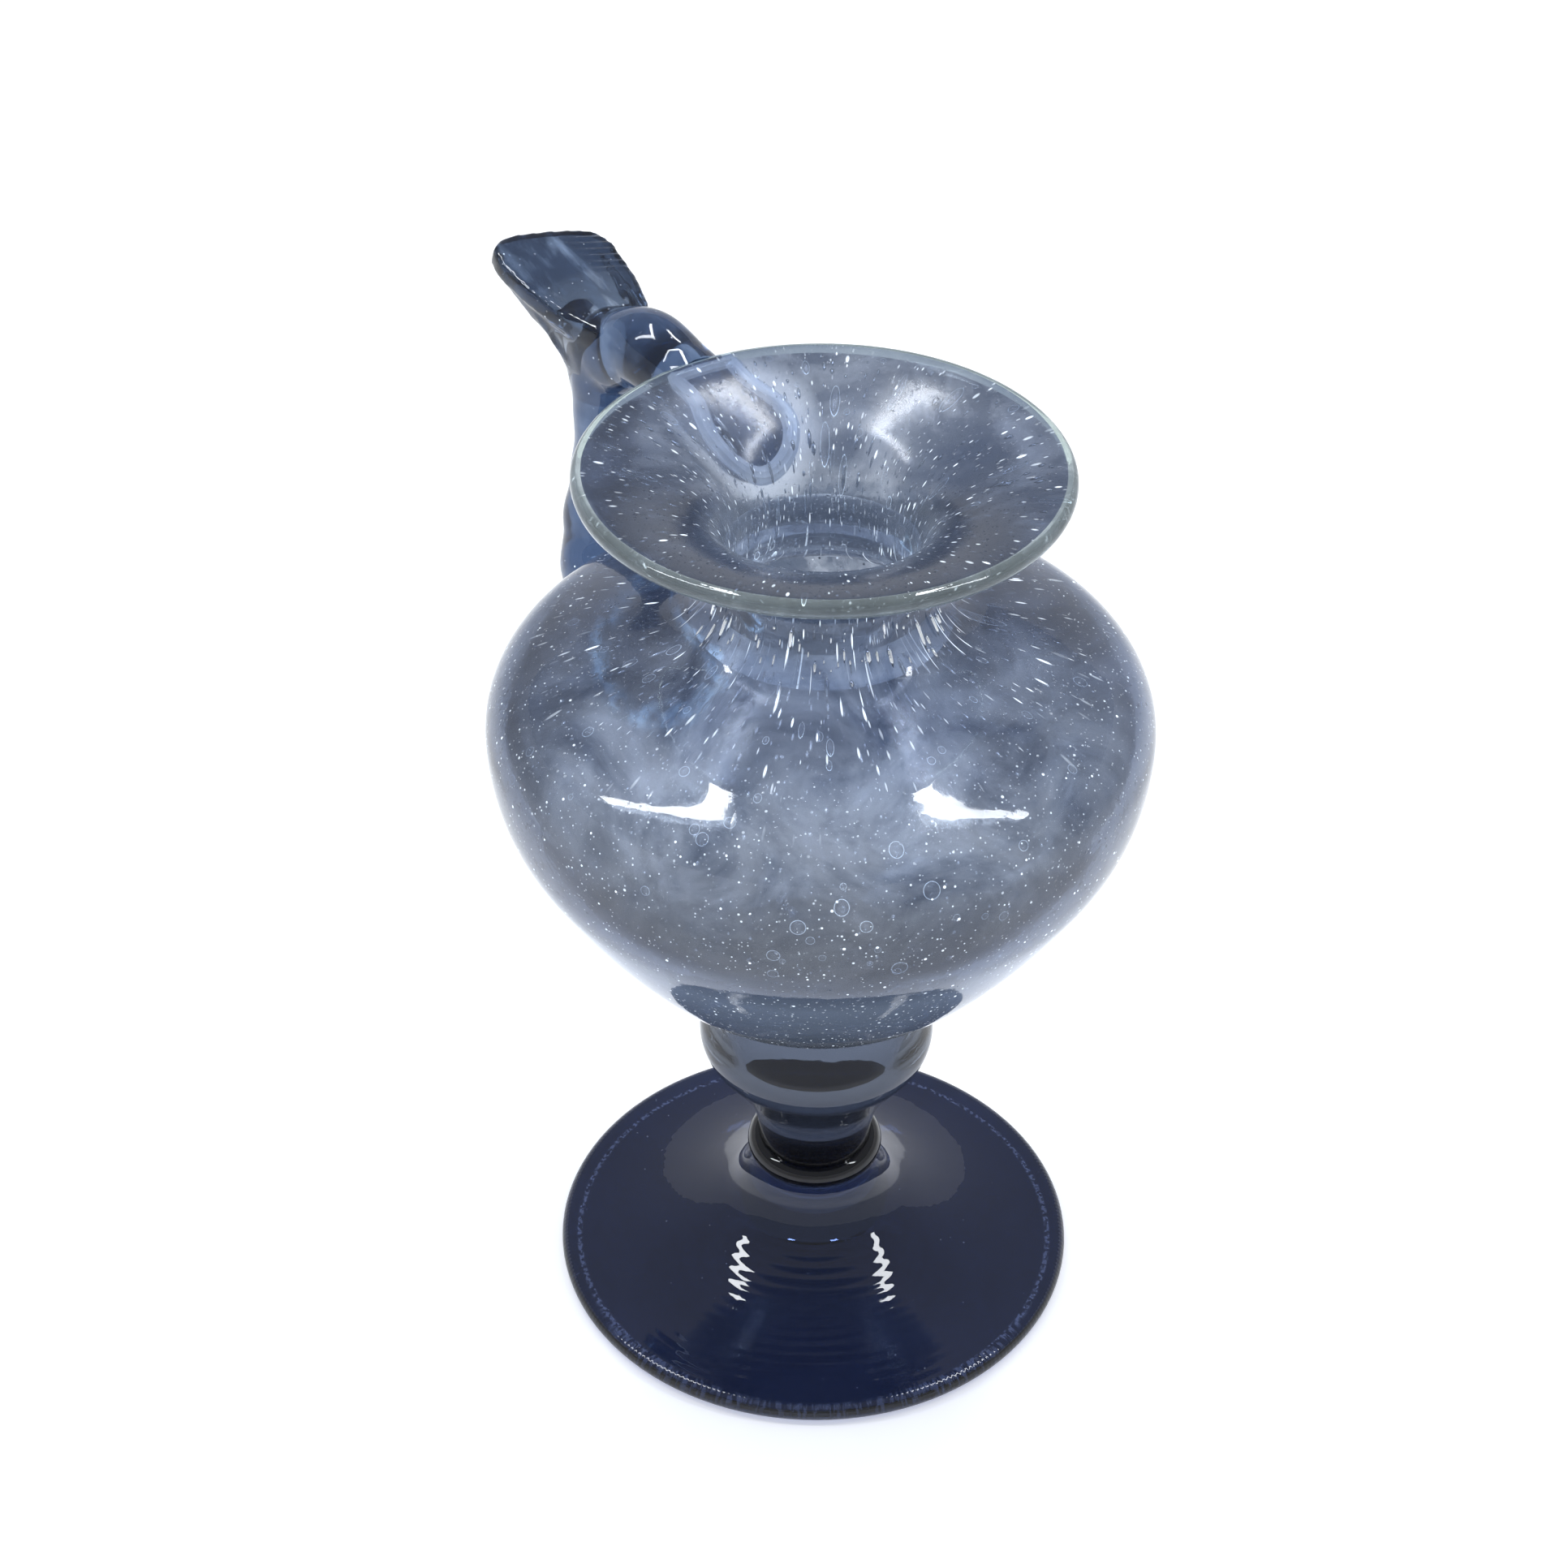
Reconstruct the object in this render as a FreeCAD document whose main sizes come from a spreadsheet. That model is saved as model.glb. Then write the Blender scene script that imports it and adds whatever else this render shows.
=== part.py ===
import FreeCAD, Part
import math
import os
import Sketcher
from FreeCAD import Placement, Rotation, Vector

# A hand-blown glass oil lamp: a round foot, a collar, a solid stem knop, a blown
# reservoir whose neck opens into a flared cup, a handle loop and a thumb rest.
# Z is up, the origin is the middle of the resting ring, the handle is along -X.

# Driving sizes, in millimetres and degrees
SIZES = [
    ("foot_radius", 40.0, "outside of the round foot"),
    ("foot_edge", 3.2, "thickness of the foot's rounded edge"),
    ("rest_ring_inset", 3.0, "inner edge of the ring that the lamp stands on, in from the foot's edge"),
    ("foot_hollow", 1.6, "rise of the underside at the axis"),
    ("foot_height", 19.6, "height of the collar's seat on the foot"),
    ("waist_radius", 8.7, "stem above the collar"),
    ("seat_flare", 0.9, "collar's seat beyond the stem"),
    ("collar_overhang", 1.7, "widest part of the collar beyond the stem"),
    ("collar_thickness", 3.4, "collar, seat to seat"),
    ("knop_radius", 17.1, "shoulder of the knop"),
    ("knop_length", 32.2, "stem from the collar to the top of the knop"),
    ("knop_bite", 4.0, "gather above that, inside the reservoir's outside, before it is trimmed"),
    ("bowl_rise", 10.8, "top of the knop to the edge of the reservoir's round bottom"),
    ("bowl_depth", 35.5, "edge of the round bottom to the belly"),
    ("belly_radius", 46.8, "widest radius of the reservoir"),
    ("neck_rise", 26.34, "belly to the narrowest part of the neck"),
    ("neck_curve_radius", 10.1, "hollow curve from the shoulder into the neck"),
    ("bowl_wall", 3.0, "wall of the reservoir"),
    ("neck_radius", 12.8, "bore of the neck"),
    ("neck_length", 6.5, "straight length of the bore"),
    ("cup_wall", 2.6, "wall of the cup and of the neck's waist"),
    ("cup_depth", 14.96, "narrowest part of the neck to the lip"),
    ("lip_radius", 32.1, "inside of the cup at the lip"),
    ("handle_root_radius", 11.0, "gather where the handle leaves the reservoir"),
    ("handle_radius", 4.4, "round column of the handle"),
    ("handle_strap_radius", 6.6, "strap from the corner to the cup"),
    ("handle_tip_radius", 2.2, "rounded end of the strap in the cup's glass"),
    ("handle_clearance", 9.2, "axis of the column beyond the belly"),
    ("strap_drop", 3.2, "strap's axis below the lip"),
    ("strap_lean", 2.6, "strap's end to the side, as the hand left it"),
    ("rest_length", 19.2, "thumb rest beyond its datum"),
    ("rest_width", 20.4, "width of the thumb rest"),
    ("rest_thickness", 4.6, "thickness of the thumb rest"),
    ("rest_corner_radius", 4.0, "rounding of the thumb rest's corners"),
    ("rest_root", 5.0, "thumb rest inside its datum, sunk in the handle's corner"),
    ("rest_tilt", 16.0, "slope of the thumb rest in degrees"),
    ("rest_inset", 4.0, "thumb rest's datum inside the column's axis"),
    ("rest_lift", 2.0, "thumb rest's datum below the lip"),
]

# Shares, chosen by hand: each a part of the named size that it follows
collar_middle_share = 0.382
rest_edge_share = 0.46
rest_neck_share = 0.80
rest_end_share = 0.86
rest_corner_share = 0.22
rest_skew_share = 0.10
rest_right_share = 0.88

# Points of the turned outlines, as shares of the way between two named places
foot_shares = [
    # radius from the collar's seat to the foot's edge, height from the edge to the seat
    (0.5395, 0.110),
    (0.1612, 0.445),
]
knop_shares = [
    # radius from the waist to the knop's shoulder, height from the collar to the top
    (0.369, 0.3416),
    (0.893, 0.5435),
    (1.000, 0.7610),
    (0.512, 1.0000),
]
bowl_shares = [
    # radius as a share of the belly's, depth from the belly to the round bottom's edge
    (0.9145, 0.4366),
    (0.6197, 1.0000),
]
shoulder_reach_share = 0.79
shoulder_rise_share = 0.3986
cup_reach_share = 0.311
cup_rise_share = 0.6925

# Handle sections from the root to the tip. Each has its reach and its height as
# shares of the way between two named places, the heading of the path there in
# degrees, and its radius as a share of the way between two named radii.
root_reach_share = 0.769
root_drop_share = 0.352
column_shares = [
    # reach from root to column, height from root to strap, heading, radius from column to root
    (0.000, 0.000, 14.0, 0.88),
    (0.425, 0.028, 22.0, 0.98),
    (0.695, 0.096, 40.0, 0.78),
    (0.900, 0.200, 60.0, 0.48),
    (1.010, 0.326, 80.0, 0.19),
    (1.000, 0.464, 93.0, 0.02),
    (0.920, 0.612, 99.0, 0.00),
    (0.890, 0.752, 95.0, 0.05),
    (0.845, 0.862, 108.0, 0.13),
]
strap_end_share = 0.6075
strap_shares = [
    # reach from strap end to column, height above the strap's axis over its radius,
    # heading, radius from column to strap, sideways lean
    (0.827, -0.38, 142.0, 0.70, 0.15),
    (0.658, 0.03, 172.0, 0.65, 0.45),
    (0.452, -0.16, 184.0, 0.40, 0.80),
    (0.247, -0.60, 192.0, 0.55, 1.00),
    (0.030, -0.62, 184.0, 0.90, 1.00),
]
tip_reach_share = 0.85
tip_rise_share = -0.41

doc = FreeCAD.newDocument("glass_oil_lamp")
sheet = doc.addObject("Spreadsheet::Sheet", "sizes")
for row, (alias, number, meaning) in enumerate(SIZES, start=1):
    sheet.set("A%d" % row, meaning)
    sheet.set("B%d" % row, str(number))
    sheet.setAlias("B%d" % row, alias)
doc.recompute()


class Size:
    """A number together with the expression over the sheet that gives it."""

    def __init__(self, value, text):
        self.value = float(value)
        self.text = text

    def __add__(self, other):
        other = as_size(other)
        return Size(self.value + other.value, "(%s + %s)" % (self.text, other.text))

    def __sub__(self, other):
        other = as_size(other)
        return Size(self.value - other.value, "(%s - %s)" % (self.text, other.text))

    def __mul__(self, share):
        return Size(self.value * share, "(%s * %r)" % (self.text, share))

    def __neg__(self):
        return Size(-self.value, "(-1 * %s)" % self.text)


def as_size(item):
    return item if isinstance(item, Size) else Size(item, repr(item))


def named(alias):
    return Size(sheet.get(alias), "sizes." + alias)


def between(first, last, share):
    """The size at a share of the way from the first size to the last."""
    return first * (1.0 - share) + last * share


zero = Size(0.0, "0")


class Curve:
    """One line or arc of a sketch, with its ends in the order of the outline."""

    def __init__(self, number, first, last, start, end, heading, centre=None):
        self.number = number
        self.first = first
        self.last = last
        self.start = start
        self.end = end
        self.heading = heading
        self.centre = centre


class Outline:
    """Lines and tangent arcs in a sketch on one origin plane of a body."""

    def __init__(self, body, name, role):
        self.sketch = body.newObject("Sketcher::SketchObject", name)
        plane = [item for item in body.Origin.OriginFeatures if item.Role == role][0]
        self.sketch.AttachmentSupport = [(plane, "")]
        self.sketch.MapMode = "FlatFace"

    def limit(self, *terms):
        return self.sketch.addConstraint(Sketcher.Constraint(*terms))

    def bound(self, kind, *terms, size):
        number = self.limit(kind, *terms, size.value)
        self.sketch.setExpression("Constraints[%d]" % number, size.text)

    def fix_x(self, curve, end, size):
        self.bound("DistanceX", -1, 1, curve.number, end, size=size)

    def fix_y(self, curve, end, size):
        self.bound("DistanceY", -1, 1, curve.number, end, size=size)

    def fix(self, curve, end, x_size, y_size):
        """Hold one end of a curve at named coordinates, on an axis where they are zero."""
        if x_size is zero:
            self.limit("PointOnObject", curve.number, end, -2)
        else:
            self.fix_x(curve, end, x_size)
        if y_size is zero:
            self.limit("PointOnObject", curve.number, end, -1)
        else:
            self.fix_y(curve, end, y_size)

    def line(self, start, end):
        shape = Part.LineSegment(Vector(start[0], start[1], 0), Vector(end[0], end[1], 0))
        heading = math.atan2(end[1] - start[1], end[0] - start[0])
        return Curve(self.sketch.addGeometry(shape), 1, 2, start, end, heading)

    def arc(self, start, end, heading):
        """The arc that leaves start along the heading and arrives at end."""
        chord = math.atan2(end[1] - start[1], end[0] - start[0])
        turn = math.remainder(chord - heading, math.tau)
        radius = math.dist(start, end) / (2.0 * math.sin(abs(turn)))
        side = math.copysign(1.0, turn)
        centre = (
            start[0] - side * radius * math.sin(heading),
            start[1] + side * radius * math.cos(heading),
        )
        return self.round_arc(centre, start, end, side, heading + 2.0 * turn)

    def round_arc(self, centre, start, end, side, heading):
        """An arc about a centre, to the left when side is +1 and to the right when -1."""
        from_angle = math.atan2(start[1] - centre[1], start[0] - centre[0])
        to_angle = math.atan2(end[1] - centre[1], end[0] - centre[0])
        circle = Part.Circle(Vector(centre[0], centre[1], 0), Vector(0, 0, 1), math.dist(centre, start))
        if side < 0:
            from_angle, to_angle = to_angle, from_angle
        if to_angle < from_angle:
            to_angle += math.tau
        number = self.sketch.addGeometry(Part.ArcOfCircle(circle, from_angle, to_angle))
        first, last = (1, 2) if side > 0 else (2, 1)
        return Curve(number, first, last, start, end, heading, centre)

    def beside(self, curve, offset):
        """The arc about the same centre, the offset to the left of it, run the same way."""
        side = 1.0 if curve.first == 1 else -1.0
        ends = []
        for point in (curve.start, curve.end):
            away = math.atan2(point[1] - curve.centre[1], point[0] - curve.centre[0])
            radius = math.dist(point, curve.centre) - side * offset
            ends.append((
                curve.centre[0] + radius * math.cos(away),
                curve.centre[1] + radius * math.sin(away),
            ))
        twin = self.round_arc(curve.centre, ends[0], ends[1], side, curve.heading)
        self.limit("Coincident", twin.number, 3, curve.number, 3)
        return twin

    def smooth(self, one, one_end, other, other_end):
        self.limit("Tangent", one.number, one_end, other.number, other_end)

    def meet(self, one, one_end, other, other_end):
        self.limit("Coincident", one.number, one_end, other.number, other_end)

    def level(self, curve, end):
        """The arc runs upright at this end: its centre lies level with it."""
        self.limit("Horizontal", curve.number, 3, curve.number, end)

    def chain(self, start, heading, points):
        """Tangent arcs through points given in sizes; the first leaves start upright."""
        curves = []
        here = start
        for point in points:
            place = (point[0].value, point[1].value)
            curve = self.arc((here[0].value, here[1].value), place, heading)
            if curves:
                self.smooth(curves[-1], curves[-1].last, curve, curve.first)
            self.fix(curve, curve.last, point[0], point[1])
            curves.append(curve)
            heading = curve.heading
            here = point
        return curves

    def close(self, curves):
        """Join the ends of curves that follow each other round the outline."""
        for one, other in zip(curves, curves[1:] + curves[:1]):
            self.meet(one, one.last, other, other.first)


def revolved(body_name, outline_name, draw):
    """A body turned about Z from an outline drawn on its upright plane."""
    body = doc.addObject("PartDesign::Body", body_name)
    outline = Outline(body, outline_name, "XZ_Plane")
    draw(outline)
    turned = body.newObject("PartDesign::Revolution", outline_name + "_turned")
    turned.Profile = (outline.sketch, [""])
    turned.ReferenceAxis = (outline.sketch, ["V_Axis"])
    turned.Angle = 360
    return body


def cut_away(name, base, tool):
    """The first shape without what the second fills, so that their faces meet."""
    cut = doc.addObject("Part::Cut", name)
    cut.Base = base
    cut.Tool = tool
    return cut


UPRIGHT = math.pi / 2.0

# Foot: a spun disc with a rounded edge, a low cone above and a shallow hollow below

seat_radius = named("waist_radius") + named("seat_flare")


def draw_foot(outline):
    edge_radius = named("foot_radius") - named("foot_edge") * 0.5
    ring_inside = named("foot_radius") - named("rest_ring_inset")
    height = named("foot_height").value
    top = outline.line((0.0, height), (seat_radius.value, height))
    outline.fix(top, 1, zero, named("foot_height"))
    axis = outline.line((0.0, named("foot_hollow").value), (0.0, named("foot_height").value))
    outline.fix(axis, 1, zero, named("foot_hollow"))
    ring = outline.line((edge_radius.value, 0.0), (ring_inside.value, 0.0))
    outline.fix(ring, 2, ring_inside, zero)
    hollow = outline.arc((0.0, named("foot_hollow").value), (ring_inside.value, 0.0), 0.0)
    outline.limit("PointOnObject", hollow.number, 3, -2)
    half_edge = named("foot_edge") * 0.5
    edge = outline.round_arc(
        (edge_radius.value, half_edge.value),
        (edge_radius.value, 0.0),
        (edge_radius.value, named("foot_edge").value),
        1.0,
        math.pi,
    )
    outline.fix(edge, 1, edge_radius, zero)
    outline.fix(edge, 2, edge_radius, named("foot_edge"))
    outline.smooth(ring, 1, edge, 1)
    slope = []
    for reach, rise in foot_shares:
        slope.append((
            between(seat_radius, named("foot_radius"), reach),
            between(named("foot_edge"), named("foot_height"), rise),
        ))
    upper = outline.chain(
        (edge_radius, named("foot_edge")), math.pi, slope + [(seat_radius, named("foot_height"))]
    )
    outline.smooth(edge, 2, upper[0], upper[0].first)
    outline.meet(upper[-1], upper[-1].last, top, 2)
    outline.meet(top, 1, axis, 2)
    outline.meet(axis, 1, hollow, hollow.first)
    outline.meet(hollow, hollow.last, ring, 2)


foot = revolved("foot", "foot_outline", draw_foot)

# Collar: a thin ring of glass between the foot and the stem

collar_top = named("foot_height") + named("collar_thickness")
collar_middle = named("foot_height") + named("collar_thickness") * collar_middle_share


def draw_collar(outline):
    widest = (named("waist_radius") + named("collar_overhang"), collar_middle)
    lower = outline.chain(widest, -UPRIGHT, [(seat_radius, named("foot_height"))])[0]
    upper = outline.chain(widest, UPRIGHT, [(named("waist_radius"), collar_top)])[0]
    outline.fix(lower, lower.first, *widest)
    outline.level(lower, lower.first)
    outline.smooth(lower, lower.first, upper, upper.first)
    bottom = outline.line(lower.end, (0.0, lower.end[1]))
    axis = outline.line(bottom.end, (0.0, collar_top.value))
    top = outline.line(axis.end, upper.end)
    outline.meet(lower, lower.last, bottom, 1)
    outline.meet(bottom, 2, axis, 1)
    outline.meet(axis, 2, top, 1)
    outline.meet(top, 2, upper, upper.last)
    outline.limit("Horizontal", bottom.number)
    outline.limit("Horizontal", top.number)
    outline.limit("PointOnObject", axis.number, 1, -2)
    outline.limit("PointOnObject", axis.number, 2, -2)


collar = revolved("collar", "collar_outline", draw_collar)

# Stem knop: a solid inverted baluster that carries the reservoir

knop_top = collar_top + named("knop_length")


def draw_knop(outline):
    start = (named("waist_radius"), collar_top)
    points = []
    for swell, rise in knop_shares:
        points.append((
            between(named("waist_radius"), named("knop_radius"), swell),
            between(collar_top, knop_top, rise),
        ))
    curves = outline.chain(start, UPRIGHT, points)
    outline.fix(curves[0], curves[0].first, *start)
    outline.level(curves[0], curves[0].first)
    bite = knop_top + named("knop_bite")
    side = outline.line(curves[-1].end, (curves[-1].end[0], bite.value))
    top = outline.line(side.end, (0.0, side.end[1]))
    axis = outline.line(top.end, (0.0, collar_top.value))
    bottom = outline.line(axis.end, curves[0].start)
    outline.meet(curves[-1], curves[-1].last, side, 1)
    outline.meet(side, 2, top, 1)
    outline.meet(top, 2, axis, 1)
    outline.meet(axis, 2, bottom, 1)
    outline.meet(bottom, 2, curves[0], curves[0].first)
    outline.limit("Vertical", side.number)
    outline.fix_y(side, 2, bite)
    outline.limit("Horizontal", top.number)
    outline.limit("Horizontal", bottom.number)
    outline.limit("PointOnObject", axis.number, 1, -2)
    outline.limit("PointOnObject", axis.number, 2, -2)


knop_gather = revolved("knop_gather", "knop_outline", draw_knop)

# Reservoir: one blown gather. Its outside is a chain of tangent arcs from the
# round bottom over the belly and the shoulder to the neck, its inside lies one
# wall further in about the same centres, and the cup flares from the neck to a
# rounded lip. The same outside, solid, trims the knop and the handle.

belly_height = knop_top + named("bowl_rise") + named("bowl_depth")
belly = (named("belly_radius"), belly_height)
waist = named("neck_radius") + named("cup_wall")
throat_height = belly_height + named("neck_rise")
lip_height = throat_height + named("cup_depth")


def touching_arc_end(start, heading, centre, radius):
    """Where the arc that leaves start along the heading touches a circle from outside."""
    left = (-math.sin(heading), math.cos(heading))
    away = (start[0] - centre[0], start[1] - centre[1])
    along = away[0] * left[0] + away[1] * left[1]
    bend = (radius ** 2 - away[0] ** 2 - away[1] ** 2) / (2.0 * (along - radius))
    middle = (start[0] + bend * left[0], start[1] + bend * left[1])
    share = radius / (radius + bend)
    return tuple(there + (here - there) * share for here, there in zip(middle, centre))


def draw_bowl_outside(outline):
    """The outside from the axis at the bottom to the neck's waist."""
    points = []
    for reach, drop in bowl_shares:
        points.append((named("belly_radius") * reach, belly_height - named("bowl_depth") * drop))
    lower = outline.chain(belly, -UPRIGHT, points)
    outline.fix(lower[0], lower[0].first, *belly)
    outline.level(lower[0], lower[0].first)
    turned = lower[-1].heading
    reach = lower[-1].end[0] / abs(math.sin(turned))
    centre = (0.0, lower[-1].end[1] - reach * math.cos(turned))
    bottom = outline.round_arc(centre, lower[-1].end, (0.0, centre[1] - reach), -1.0, math.pi)
    outline.smooth(lower[-1], lower[-1].last, bottom, bottom.first)
    outline.limit("PointOnObject", bottom.number, 3, -2)
    outline.limit("PointOnObject", bottom.number, bottom.last, -2)
    shoulder = (
        between(waist, named("belly_radius"), shoulder_reach_share),
        belly_height + named("neck_rise") * shoulder_rise_share,
    )
    crown = outline.chain(belly, UPRIGHT, [shoulder])[0]
    outline.smooth(lower[0], lower[0].first, crown, crown.first)
    curve_radius = named("neck_curve_radius")
    neck_end = (waist.value, throat_height.value)
    centre = (neck_end[0] + curve_radius.value, neck_end[1])
    joint = touching_arc_end(crown.end, crown.heading, centre, curve_radius.value)
    slope = outline.arc(crown.end, joint, crown.heading)
    outline.smooth(crown, crown.last, slope, slope.first)
    neck = outline.round_arc(centre, joint, neck_end, -1.0, UPRIGHT)
    outline.smooth(slope, slope.last, neck, neck.first)
    outline.level(neck, neck.last)
    outline.fix(neck, neck.last, waist, throat_height)
    outline.bound("Radius", neck.number, size=curve_radius)
    return lower + [bottom], [crown, slope, neck]


def draw_cup_inside(outline):
    """The inside of the cup from the throat to the lip."""
    middle = (
        between(named("neck_radius"), named("lip_radius"), cup_reach_share),
        throat_height + named("cup_depth") * cup_rise_share,
    )
    lip = (named("lip_radius"), lip_height)
    return outline.chain((named("neck_radius"), throat_height), UPRIGHT, [middle, lip])


def draw_lip(outline, inside, outside):
    """The half round of the lip, tangent to both sides of the wall."""
    centre = tuple(0.5 * (a + b) for a, b in zip(inside.end, outside.end))
    lip = outline.round_arc(centre, inside.end, outside.end, -1.0, inside.heading + math.pi)
    outline.smooth(inside, inside.last, lip, lip.first)
    outline.smooth(lip, lip.last, outside, outside.last)
    return lip


def draw_reservoir(outline):
    lower, upper = draw_bowl_outside(outline)
    neck = upper[-1]
    cup = draw_cup_inside(outline)
    wall = named("cup_wall").value
    cup_outside = [outline.beside(cup[0], -wall), outline.beside(cup[1], -wall)]
    outline.smooth(cup_outside[0], cup_outside[0].last, cup_outside[1], cup_outside[1].first)
    outline.smooth(neck, neck.last, cup_outside[0], cup_outside[0].first)
    draw_lip(outline, cup[1], cup_outside[1])

    bowl_wall = named("bowl_wall").value
    belly_inside = outline.beside(lower[0], -bowl_wall)
    outline.bound(
        "Distance", lower[0].number, lower[0].first, belly_inside.number, belly_inside.first,
        size=named("bowl_wall"),
    )
    flank_inside = outline.beside(lower[1], -bowl_wall)
    bottom_inside = outline.beside(lower[2], -bowl_wall)
    outline.smooth(belly_inside, belly_inside.last, flank_inside, flank_inside.first)
    outline.smooth(flank_inside, flank_inside.last, bottom_inside, bottom_inside.first)
    outline.limit("PointOnObject", bottom_inside.number, bottom_inside.last, -2)
    crown_inside = outline.beside(upper[0], bowl_wall)
    shoulder_inside = outline.beside(upper[1], bowl_wall)
    outline.smooth(belly_inside, belly_inside.first, crown_inside, crown_inside.first)
    outline.smooth(crown_inside, crown_inside.last, shoulder_inside, shoulder_inside.first)
    spoke = outline.line(upper[1].centre, upper[1].end)
    outline.sketch.toggleConstruction(spoke.number)
    outline.meet(spoke, 1, upper[1], 3)
    outline.meet(spoke, 2, upper[1], upper[1].last)
    outline.limit("PointOnObject", shoulder_inside.number, shoulder_inside.last, spoke.number)

    bore_radius = named("neck_radius")
    bore_foot = (bore_radius.value, throat_height.value - named("neck_length").value)
    bore = outline.line(bore_foot, cup[0].start)
    outline.limit("Vertical", bore.number)
    outline.fix_x(bore, 1, bore_radius)
    outline.bound("DistanceY", bore.number, 1, bore.number, 2, size=named("neck_length"))
    outline.smooth(bore, 2, cup[0], cup[0].first)
    throat = outline.arc(shoulder_inside.end, bore_foot, shoulder_inside.heading)
    outline.smooth(shoulder_inside, shoulder_inside.last, throat, throat.first)
    outline.meet(throat, throat.last, bore, 1)
    axis = outline.line(bottom_inside.end, lower[2].end)
    outline.meet(axis, 1, bottom_inside, bottom_inside.last)
    outline.meet(axis, 2, lower[2], lower[2].last)


reservoir = revolved("reservoir", "reservoir_outline", draw_reservoir)


def draw_reservoir_outside(outline):
    """The reservoir as a solid, closed over at the lip, to trim what is stuck on it."""
    lower, upper = draw_bowl_outside(outline)
    neck = upper[-1]
    cup = draw_cup_inside(outline)
    for curve in cup:
        outline.sketch.toggleConstruction(curve.number)
    outline.fix_x(cup[0], cup[0].first, named("neck_radius"))
    outline.level(cup[0], cup[0].first)
    wall = named("cup_wall").value
    cup_outside = [outline.beside(cup[0], -wall), outline.beside(cup[1], -wall)]
    outline.smooth(cup_outside[0], cup_outside[0].last, cup_outside[1], cup_outside[1].first)
    outline.smooth(neck, neck.last, cup_outside[0], cup_outside[0].first)
    lip = draw_lip(outline, cup[1], cup_outside[1])
    cover = outline.line(lip.start, (0.0, lip.start[1]))
    axis = outline.line(cover.end, lower[2].end)
    outline.meet(lip, lip.first, cover, 1)
    outline.limit("Horizontal", cover.number)
    outline.meet(cover, 2, axis, 1)
    outline.limit("PointOnObject", axis.number, 1, -2)
    outline.meet(axis, 2, lower[2], lower[2].last)


reservoir_outside = revolved("reservoir_outside", "outside_outline", draw_reservoir_outside)
stem_knop = cut_away("stem_knop", knop_gather, reservoir_outside)

# Handle: a gather stuck to the belly, drawn up into a round column, bent at the
# corner and led as a strap under the cup. Round sections along that path.

root_reach = named("belly_radius") * root_reach_share
root_height = belly_height - named("bowl_depth") * root_drop_share
column_reach = named("belly_radius") + named("handle_clearance")
strap_end_reach = named("lip_radius") * strap_end_share
strap_height = lip_height - named("strap_drop")


def handle_sections():
    """Reach, height, lean, heading in degrees and radius of each round section."""
    sections = []
    for reach, rise, heading, swell in column_shares:
        sections.append((
            between(root_reach, column_reach, reach),
            between(root_height, strap_height, rise),
            zero,
            heading,
            between(named("handle_radius"), named("handle_root_radius"), swell),
        ))
    for reach, rise, heading, swell, lean in strap_shares:
        sections.append((
            between(strap_end_reach, column_reach, reach),
            strap_height + named("handle_strap_radius") * rise,
            named("strap_lean") * lean,
            heading,
            between(named("handle_radius"), named("handle_strap_radius"), swell),
        ))
    sections.append((
        strap_end_reach * tip_reach_share,
        strap_height + named("handle_strap_radius") * tip_rise_share,
        named("strap_lean"),
        sections[-1][3],
        named("handle_tip_radius"),
    ))
    return sections


def round_section(body, name, reach, height, lean, heading, radius):
    """A circle square to the handle's path, at a reach towards -X and a height."""
    section = body.newObject("Sketcher::SketchObject", name)
    plane = [item for item in body.Origin.OriginFeatures if item.Role == "YZ_Plane"][0]
    section.AttachmentSupport = [(plane, "")]
    section.MapMode = "FlatFace"
    section.AttachmentOffset = Placement(
        Vector(lean.value, height.value, -reach.value), Rotation(Vector(1, 0, 0), heading)
    )
    section.setExpression("AttachmentOffset.Base.x", lean.text)
    section.setExpression("AttachmentOffset.Base.y", height.text)
    section.setExpression("AttachmentOffset.Base.z", (-reach).text)
    circle = section.addGeometry(Part.Circle(Vector(0, 0, 0), Vector(0, 0, 1), radius.value))
    section.addConstraint(Sketcher.Constraint("Coincident", circle, 3, -1, 1))
    number = section.addConstraint(Sketcher.Constraint("Radius", circle, radius.value))
    section.setExpression("Constraints[%d]" % number, radius.text)
    return section


handle_gather = doc.addObject("PartDesign::Body", "handle_gather")
sketches = []
for number, section in enumerate(handle_sections()):
    sketches.append(round_section(handle_gather, "handle_section_%02d" % number, *section))
drawn = handle_gather.newObject("PartDesign::AdditiveLoft", "handle_drawn")
drawn.Profile = (sketches[0], [""])
drawn.Sections = [(sketch, [""]) for sketch in sketches[1:]]
drawn.Ruled = False
handle = cut_away("handle", handle_gather, reservoir_outside)

# Thumb rest: a bit of glass on the handle's corner, pressed flat and sloping up

rest_gather = doc.addObject("PartDesign::Body", "rest_gather")
rest_outline = Outline(rest_gather, "rest_outline", "XY_Plane")
rest_reach = column_reach - named("rest_inset")
rest_height = lip_height - named("rest_lift")


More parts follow.
